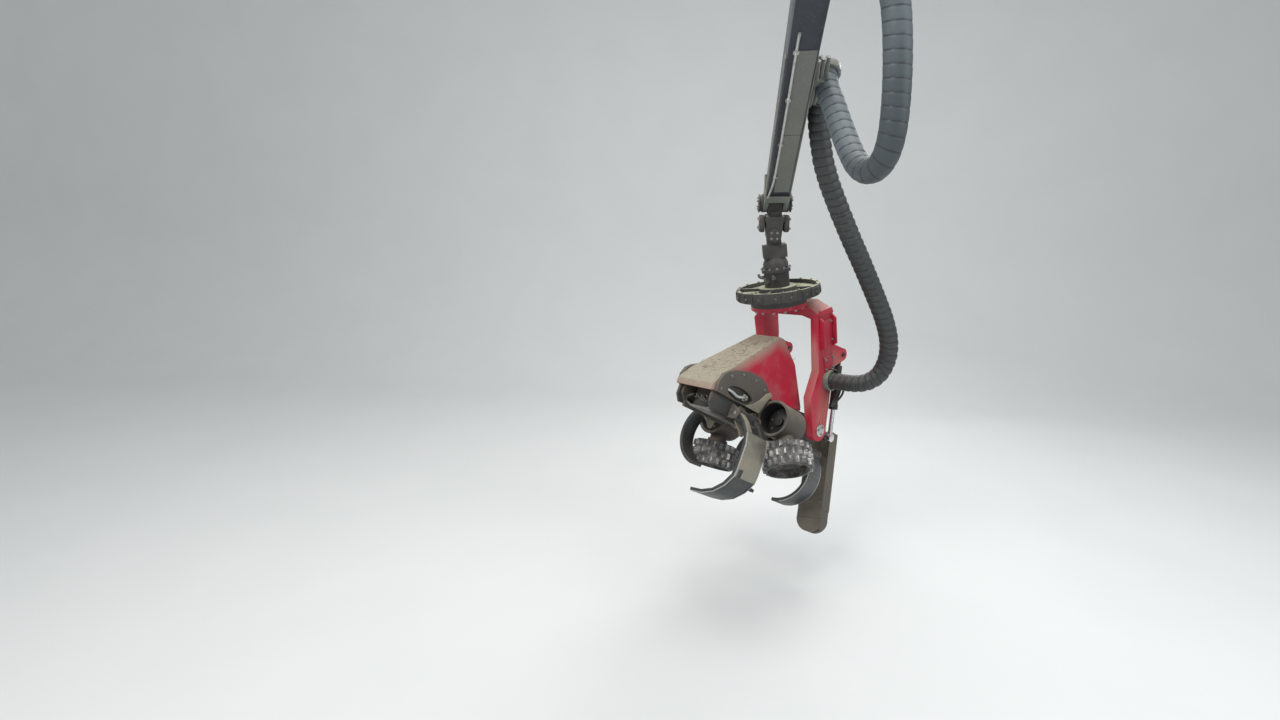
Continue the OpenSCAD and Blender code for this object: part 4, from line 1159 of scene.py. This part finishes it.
class HARVESTER_OT_bracket(bpy.types.Operator):
    """The red tilt bracket with its pins, gussets, welds, hose clamp and tubes"""
    bl_idname = "harvester.bracket"
    bl_label = "Tilt bracket"

    def execute(self, context):
        dress_all("bracket", context.scene.head_sizes.bevel, (
            ("tilt_bracket", "red", "red_paint", 2.2), ("tilt_pins", "bright", "pin_steel", 0.8),
            ("hose_clamp", "nose", "nose_paint", 0.8)))

        top = BRACKET_H - 0.085
        face = LEG_OUT + 0.008
        gusset = [(LEG_OUT - 0.004, top - 0.34), (LEG_OUT + 0.030, top - 0.32),
                  (LEG_OUT + 0.034, top - 0.135), (LEG_OUT - 0.004, top - 0.100)]
        inner_rib = [(-0.09, top - 0.118), (-0.07, top - 0.118), (-0.07, top - 0.26)]
        shoulder = [(-0.236, top - 0.10), (-0.074, top - 0.10), (-0.09, top - 0.062), (-0.22, top - 0.062)]
        bm = bmesh.new()
        for side in SIDES:
            leg = bmesh.new()
            block(leg, (-0.212, LEG_OUT, top - 0.30), (-0.098, face, top - 0.14))
            block(leg, (-0.205, LEG_OUT, 0.40), (-0.10, face, 0.50))
            for x in (-0.232, -0.092):
                plate(leg, gusset, x, x + 0.014, "YZ")
            plate(leg, inner_rib, LEG_IN + 0.012, LEG_IN + 0.030)
            plate(leg, shoulder, LEG_OUT - 0.002, LEG_OUT + 0.010)
            take_in(bm, leg, mirrored(side))
        finish_object("bracket_cover_plates", bm, "red", "bracket", PIVOT, 0.002)

        spots = [(x, face, z) for x in (-0.20, -0.11) for z in (top - 0.285, top - 0.155)]
        spots += [(x, face, z) for x in (-0.193, -0.112) for z in (0.415, 0.485)]
        bolt_pair("leg_bolts", spots, 0.008, 0.009, "Y", "bracket", PIVOT)
        spots = [(x, LEG_OUT + 0.010, z) for x, z in circle_points(0.028, 3, start=30)]
        bolt_pair("pin_bolts", spots, 0.006, 0.007, "Y", "bracket", PIVOT)
        bolt_ring("flange_bolts", 0.010, 0.014, 14, 0.172, "bracket",
                  PIVOT @ shift(0, 0, top - 0.0262) @ turn(180, "X"))

        bm = bmesh.new()
        for k in range(3):
            y = LEG_OUT + 0.012 + 0.018 * k
            pipe(bm, [(-0.16, LEG_OUT + 0.004, 0.395), (-0.165, y, 0.40), (-0.20, y, 0.35),
                      (-0.235 - 0.01 * k, y, 0.27), (-0.21 - 0.012 * k, y - 0.01, 0.19),
                      (-0.15, LEG_OUT + 0.006, 0.13)], 0.0075)
        finish_object("leg_tubes", bm, "black", "bracket", PIVOT, turned=True)

        bm = bmesh.new()
        for side in SIDES:
            y = side * (LEG_OUT - 0.001)
            rod(bm, [Vector((x, y, top - 0.12)) for x in (-0.238, -0.15, -0.072)], 0.0045, 8)
        finish_object("bracket_welds", bm, "red", "bracket", PIVOT)
        return {"FINISHED"}


class HARVESTER_OT_cylinders(bpy.types.Operator):
    """The two tilt cylinders: black barrels with glands, bright rods"""
    bl_idname = "harvester.cylinders"
    bl_label = "Tilt cylinders"

    def execute(self, context):
        for name in SIDES.values():
            dress("tilt_barrel_" + name, "tilt_barrel_" + name, "black", 0.0015)
            dress("tilt_rod_" + name, "tilt_rod_" + name, "chrome", 0.0012)
        return {"FINISHED"}


class HARVESTER_OT_hood(bpy.types.Operator):
    """The hood's enamel shell and the needles on it"""
    bl_idname = "harvester.hood"
    bl_label = "Hood"

    def execute(self, context):
        hood = dress("hood", "head", "hood", 0.012)
        bm = bmesh.new()
        bm.from_mesh(hood.data)
        bm.transform(HEAD.inverted())
        drop = [f for f in bm.faces if f.normal.z <= 0.35 or f.calc_center_median().z <= 0.42]
        bmesh.ops.delete(bm, geom=drop, context="FACES")
        needles = {"Density": float(context.scene.head_sizes.needles), "Seed": 7, "Length": 0.034}
        place = HEAD @ shift(0, 0, 0.0006)
        repeat("hood_needles", bm, "litter", needles, "litter", "head", place)
        return {"FINISHED"}


class HARVESTER_OT_head(bpy.types.Operator):
    """The head's frame, guide plates, keel plate, valves, pins and the front casting"""
    bl_idname = "harvester.head"
    bl_label = "Head frame"

    def execute(self, context):
        frame_nodes = (
            "side_plate_near", "side_plate_far", "cross_walls", "bay_wall", "bay_roof", "axle_tube")
        dress_all("head", context.scene.head_sizes.bevel, (
            *((node, "frame", "frame_paint", 0.8) for node in frame_nodes),
            ("guide_plates", "steel", "worn_steel", 0.6), ("keel_plate", "steel", "worn_steel", 0.8),
            ("valve_block", "casting", "cast_dark", 1), ("arm_pins", "bright", "pin_steel", 0.6),
            ("knife_pins", "bright", "pin_steel", 0.5)))

        # Fittings and short hoses on the valve block, seen under the hood's nose
        bm = bmesh.new()
        for y in (-0.045, 0.0, 0.045):
            cylinder(bm, 0.014, 0.520, 0.545, (0, y, 0.262), "X", 6)
        finish_object("valve_fittings", bm, "bright", "head", HEAD, 0.0008)
        bm = bmesh.new()
        for y, out in ((-0.045, -0.095), (0.0, 0.075), (0.045, 0.100)):
            pipe(bm, [(0.543, y, 0.262), (0.568, y, 0.258), (0.578, 0.5 * (y + out), 0.242),
                      (0.560, out, 0.226), (0.50, out, 0.222), (0.40, out, 0.232)], 0.009)
        finish_object("valve_hoses", bm, "black", "head", HEAD, turned=True)

        # The cheeks: a dark casting on each side of the hood's front, with a window round its fittings
        angles = [math.atan2(2.4 * (z - 0.350), x - 0.395) for x, z in CHEEK]
        window = [(0.395 + 0.130 * math.cos(a), 0.350 + 0.042 * math.sin(a)) for a in angles]
        spots = [(0.585, 0.176, 0.33), (0.53, 0.176, 0.43), (0.43, 0.176, 0.475), (0.30, 0.176, 0.485),
                 (0.19, 0.176, 0.46)]
        for side, name in SIDES.items():
            place = HEAD @ mirrored(side)
            bm = bmesh.new()
            ring_plate(bm, CHEEK, window, 0.152, 0.176)
            finish_object("cheek_" + name, bm, "frame", "head", place, 0.004)
            bm = bmesh.new()
            plate(bm, CHEEK_FOOT, 0.130, 0.1485)
            block(bm, (0.27, 0.1515, 0.30), (0.53, 0.1535, 0.40))
            finish_object("cheek_back_" + name, bm, "casting", "head", place, 0.001)
            bm = bmesh.new()
            plate(bm, FORK, 0.177, 0.186)
            plate(bm, FORK_FOOT, 0.131, 0.1488)
            finish_object("cheek_fork_" + name, bm, "dusty", "head", place, 0.003)
            bm = bmesh.new()
            cylinder(bm, 0.024, 0.152, 0.170, (0.345, 0, 0.350), "Y", 6)
            cylinder(bm, 0.015, 0.165, 0.188, (0.345, 0, 0.350), "Y", 16)
            pipe(bm, [(0.345, 0.180, 0.350), (0.375, 0.186, 0.345), (0.42, 0.180, 0.333),
                      (0.47, 0.170, 0.345), (0.51, 0.160, 0.35)], 0.011)
            finish_object("cheek_fitting_" + name, bm, "bright", "head", place, 0.0008,
                          turned=True)
            bolts("cheek_bolts_" + name, spots, 0.007, 0.008, "Y", "head", place)
        return {"FINISHED"}


class HARVESTER_OT_arms(bpy.types.Operator):
    """The roller arms with their round housings, lips, bolts and motors"""
    bl_idname = "harvester.arms"
    bl_label = "Roller arms"

    def execute(self, context):
        for side, name in SIDES.items():
            body = "roller_arm_" + name
            cup = arm_place(side) @ shift(0, 0.121, -0.085)
            dress(body, body, "frame", 0.004)
            dress("roller_motor_" + name, body, "casting", 0.0015)
            bm = bmesh.new()
            lathe(bm, [(0.104, 0.108), (0.120, 0.108), (0.122, 0.112), (0.120, 0.118), (0.106, 0.118),
                       (0.103, 0.113)], axis="X", sides=48)
            finish_object("housing_lip_" + name, bm, "frame", body, cup)
            bm = bmesh.new()
            lathe(bm, [(0, 0.0), (0.060, 0.0), (0.056, 0.02), (0.030, 0.026), (0.028, 0.045), (0, 0.047)],
                  axis="X", sides=36)
            lathe(bm, [(0.1045, 0.0005), (0.1045, 0.105), (0.1020, 0.105), (0.1020, 0.003), (0.062, 0.003),
                       (0.062, 0.0005)], axis="X", sides=48)
            finish_object("housing_liner_" + name, bm, "black", body, cup)
            bolt_ring("housing_bolts_" + name, 0.007, 0.009, 8, 0.078, body, cup @ turn(90, "Y"))
        return {"FINISHED"}


class HARVESTER_OT_rollers(bpy.types.Operator):
    """The feed rollers: a drum with rows of teeth, from a rule"""
    bl_idname = "harvester.rollers"
    bl_label = "Feed rollers"

    def execute(self, context):
        half, drum, web = ROLLER_W / 2, ROLLER_R - TOOTH_H, 0.02
        shell = [(0, -web), (0.04, -web), (0.045, -web - 0.006), (drum - 0.017, -web - 0.004),
                 (drum - 0.016, -half), (drum - 0.004, -half), (drum, -half + 0.004),
                 (drum, half - 0.004), (drum - 0.004, half), (0.058, half), (0.056, half - 0.003),
                 (0.056, web), (0, web)]
        tip, foot, wide = 0.0045, 0.0125, ROLLER_W / 6 - 0.007
        rows = {"Teeth": context.scene.head_sizes.teeth, "Rows": 3, "Radius": drum, "Pitch": ROLLER_W / 3}
        for side, name in SIDES.items():
            name, place = "roller_" + name, roller_place(side)
            bm = bmesh.new()
            lathe(bm, shell, sides=64)
            piece = finish_object(name + "_drum", bm, "roller", name, place)
            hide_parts(name)
            bm = bmesh.new()
            corners = ((-1, -1), (1, -1), (1, 1), (-1, 1))
            low = [bm.verts.new((-0.002, foot * y, wide * z)) for y, z in corners]
            top = [bm.verts.new((TOOTH_H, tip * y, 0.9 * wide * z)) for y, z in corners]
            bm.faces.new(low)
            bm.faces.new(top)
            walls(bm, [low, top])
            bmesh.ops.recalc_face_normals(bm, faces=bm.faces)
            repeat(name + "_teeth", bm, "drum", rows, "tooth", name, place)
            bolt_ring(name + "_web_bolts", 0.008, 0.010, 10, 0.085, name,
                      place @ shift(0, 0, -web - 0.004) @ turn(180, "X"))
        return {"FINISHED"}


class HARVESTER_OT_knives(bpy.types.Operator):
    """The delimbing knives; the near ones have faces and ground edges, the front one a slot"""
    bl_idname = "harvester.knives"
    bl_label = "Knives"

    def execute(self, context):
        for name in ("front_knife_far", "rear_knife_near", "rear_knife_far"):
            dress(name, name, "blade", 0.0035)

        # The near front knife: two arms from the hub, a flat face with a slot and a blade bent below it
        name, low, high = "front_knife_near", 0.184, 0.396
        bm = bmesh.new()
        lathe(bm, [(0.0182, low), (0.036, low), (0.036, high), (0.0182, high)], (0, 0.186, 0.235), "X", 32)
        bent_plate(bm, NEAR_BLADE, (low, 0.236, 0.340, high), 0.023,
                   lambda row, column: not (column == 1 and row < 2))
        blade = finish_object(name + "_blade", bm, "blade", name, HEAD, 0.003)
        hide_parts(name)
        # The dusty face stops where the blade curves under; the dark blade steel below it and in its slot is
        # painted shade.
        bm = bmesh.new()
        xs = (low + 0.004, 0.335, 0.378, high - 0.004)
        bent_plate(bm, [(y + 0.0045, z) for y, z in NEAR_BLADE[2:6]], xs, 0.004,
                   lambda row, column: not (column == 1 and row == 2))
        bent_plate(bm, [(y + 0.003, z + 0.003) for y, z in NEAR_BLADE[:3]], (0.343, high - 0.003), 0.004)
        finish_object(name + "_face", bm, "dusty", name, HEAD, 0.001)
        bm = bmesh.new()
        for x in (low - 0.001, high - 0.003):
            bent_plate(bm, [(y + 0.006, z) for y, z in NEAR_BLADE[2:]], (x, x + 0.004), 0.006)
        finish_object(name + "_edges", bm, "bright", name, HEAD, 0.0008)

        # The near rear knife carries a bluish plate with ground edges
        name, low, high = "rear_knife_near", -0.590, -0.430
        arc = circle_points(0.2435, 13, (0.0382, 0.0588), 26, -96)
        bm = bmesh.new()
        bent_plate(bm, arc, (low + 0.006, high - 0.006), 0.003)
        finish_object(name + "_face", bm, "slate", name, HEAD, 0.0008)
        bm = bmesh.new()
        for x in (low, high - 0.005):
            bent_plate(bm, arc, (x, x + 0.005), 0.005)
        finish_object(name + "_edges", bm, "bright", name, HEAD, 0.0008)
        return {"FINISHED"}


class HARVESTER_OT_saw(bpy.types.Operator):
    """The saw box with ribs and bolts, its bar, chain links and motor"""
    bl_idname = "harvester.saw"
    bl_label = "Saw"

    def execute(self, context):
        dress_all("head", context.scene.head_sizes.bevel, (
            ("saw_box", "frame", "frame_paint", 1.5), ("saw_cap", "frame", "frame_paint", 1.5),
            ("saw_motor", "casting", "cast_dark", 1)))
        dress("saw_bar", "saw", "bright", 0.0008)
        dress("saw_chain", "saw", "casting", 0.0006)

        half = 0.052
        spots = [(half, y, z) for y in (-0.08, 0.08) for z in (-0.42, -0.25, -0.08, 0.09)]
        bolts("saw_box_bolts", spots, 0.008, 0.009, "X", "head", SAW)
        bolts("saw_box_bolts_back", spots, 0.008, 0.009, "X", "head", SAW @ mirrored(FAR, "X"))
        bm = bmesh.new()
        block(bm, (-half - 0.001, 0.094, -0.48), (half + 0.003, 0.098, 0.10))
        for z in (-0.40, -0.20, 0.0):
            block(bm, (-half - 0.004, -0.101, z), (-0.020, -0.088, z + 0.03))
            block(bm, (0.020, -0.101, z), (half + 0.004, -0.088, z + 0.03))
        finish_object("saw_box_ribs", bm, "frame", "head", SAW, 0.002)

        bm = bmesh.new()
        block(bm, (-0.0055, -0.003, -0.008), (0.0055, 0.0045, 0.008))
        block(bm, (-0.0035, 0.0045, -0.003), (0.0035, 0.0085, 0.006))
        link = bpy.data.objects.new("chain_link", mesh_of("chain_link", bm))
        context.scene.collection.objects.link(link)
        reach, nose = 0.54, 0.045
        outline = circle_points(nose, 15, (0, 0.02), 0, 180)
        outline += circle_points(nose, 15, (0, 0.02 - reach), 180, 180)
        bm = bmesh.new()
        line = [bm.verts.new((0, y, z)) for y, z in outline]
        for a, b in zip(line, line[1:] + line[:1]):
            bm.edges.new((a, b))
        repeat("chain_links", bm, "path", {"Spacing": 0.019, "Copy": link}, "bolt", "saw", SAW)
        bpy.data.objects.remove(link)
        return {"FINISHED"}


class HARVESTER_OT_measuring(bpy.types.Operator):
    """The measuring wheel and its arm"""
    bl_idname = "harvester.measuring"
    bl_label = "Measuring wheel"

    def execute(self, context):
        dress("measuring_arm", "measuring_arm", "casting", 0.0015)
        dress("measuring_wheel", "measuring_wheel", "steel", 0.001)
        return {"FINISHED"}


STEPS = (
    HARVESTER_OT_stage, HARVESTER_OT_hoses, HARVESTER_OT_boom, HARVESTER_OT_link, HARVESTER_OT_rotator,
    HARVESTER_OT_bracket, HARVESTER_OT_cylinders, HARVESTER_OT_hood, HARVESTER_OT_head, HARVESTER_OT_arms,
    HARVESTER_OT_rollers, HARVESTER_OT_knives, HARVESTER_OT_saw, HARVESTER_OT_measuring)


class HARVESTER_PT_panel(bpy.types.Panel):
    """Lists the sizes, colours and pieces"""
    bl_idname = "HARVESTER_PT_panel"
    bl_label = "Harvester head"
    bl_space_type = "VIEW_3D"
    bl_region_type = "UI"
    bl_category = "Harvester"

    def draw(self, context):
        for name in GROUPS:
            group = getattr(context.scene, name)
            for key in group.__annotations__:
                self.layout.prop(group, key)
        for step in STEPS:
            self.layout.operator(step.bl_idname)


GROUPS = {"head_paint": PaintColours, "head_metal": MetalColours, "head_sizes": DetailSizes}


def register():
    for name, group in GROUPS.items():
        bpy.utils.register_class(group)
        setattr(bpy.types.Scene, name, bpy.props.PointerProperty(type=group))
    for part in (*STEPS, HARVESTER_PT_panel):
        bpy.utils.register_class(part)


def unregister():
    for part in (HARVESTER_PT_panel, *reversed(STEPS)):
        bpy.utils.unregister_class(part)
    for name, group in GROUPS.items():
        delattr(bpy.types.Scene, name)
        bpy.utils.unregister_class(group)


def main():
    register()
    for step in STEPS:
        getattr(bpy.ops.harvester, step.bl_idname.split(".")[1])()


if __name__ == "__main__":
    main()
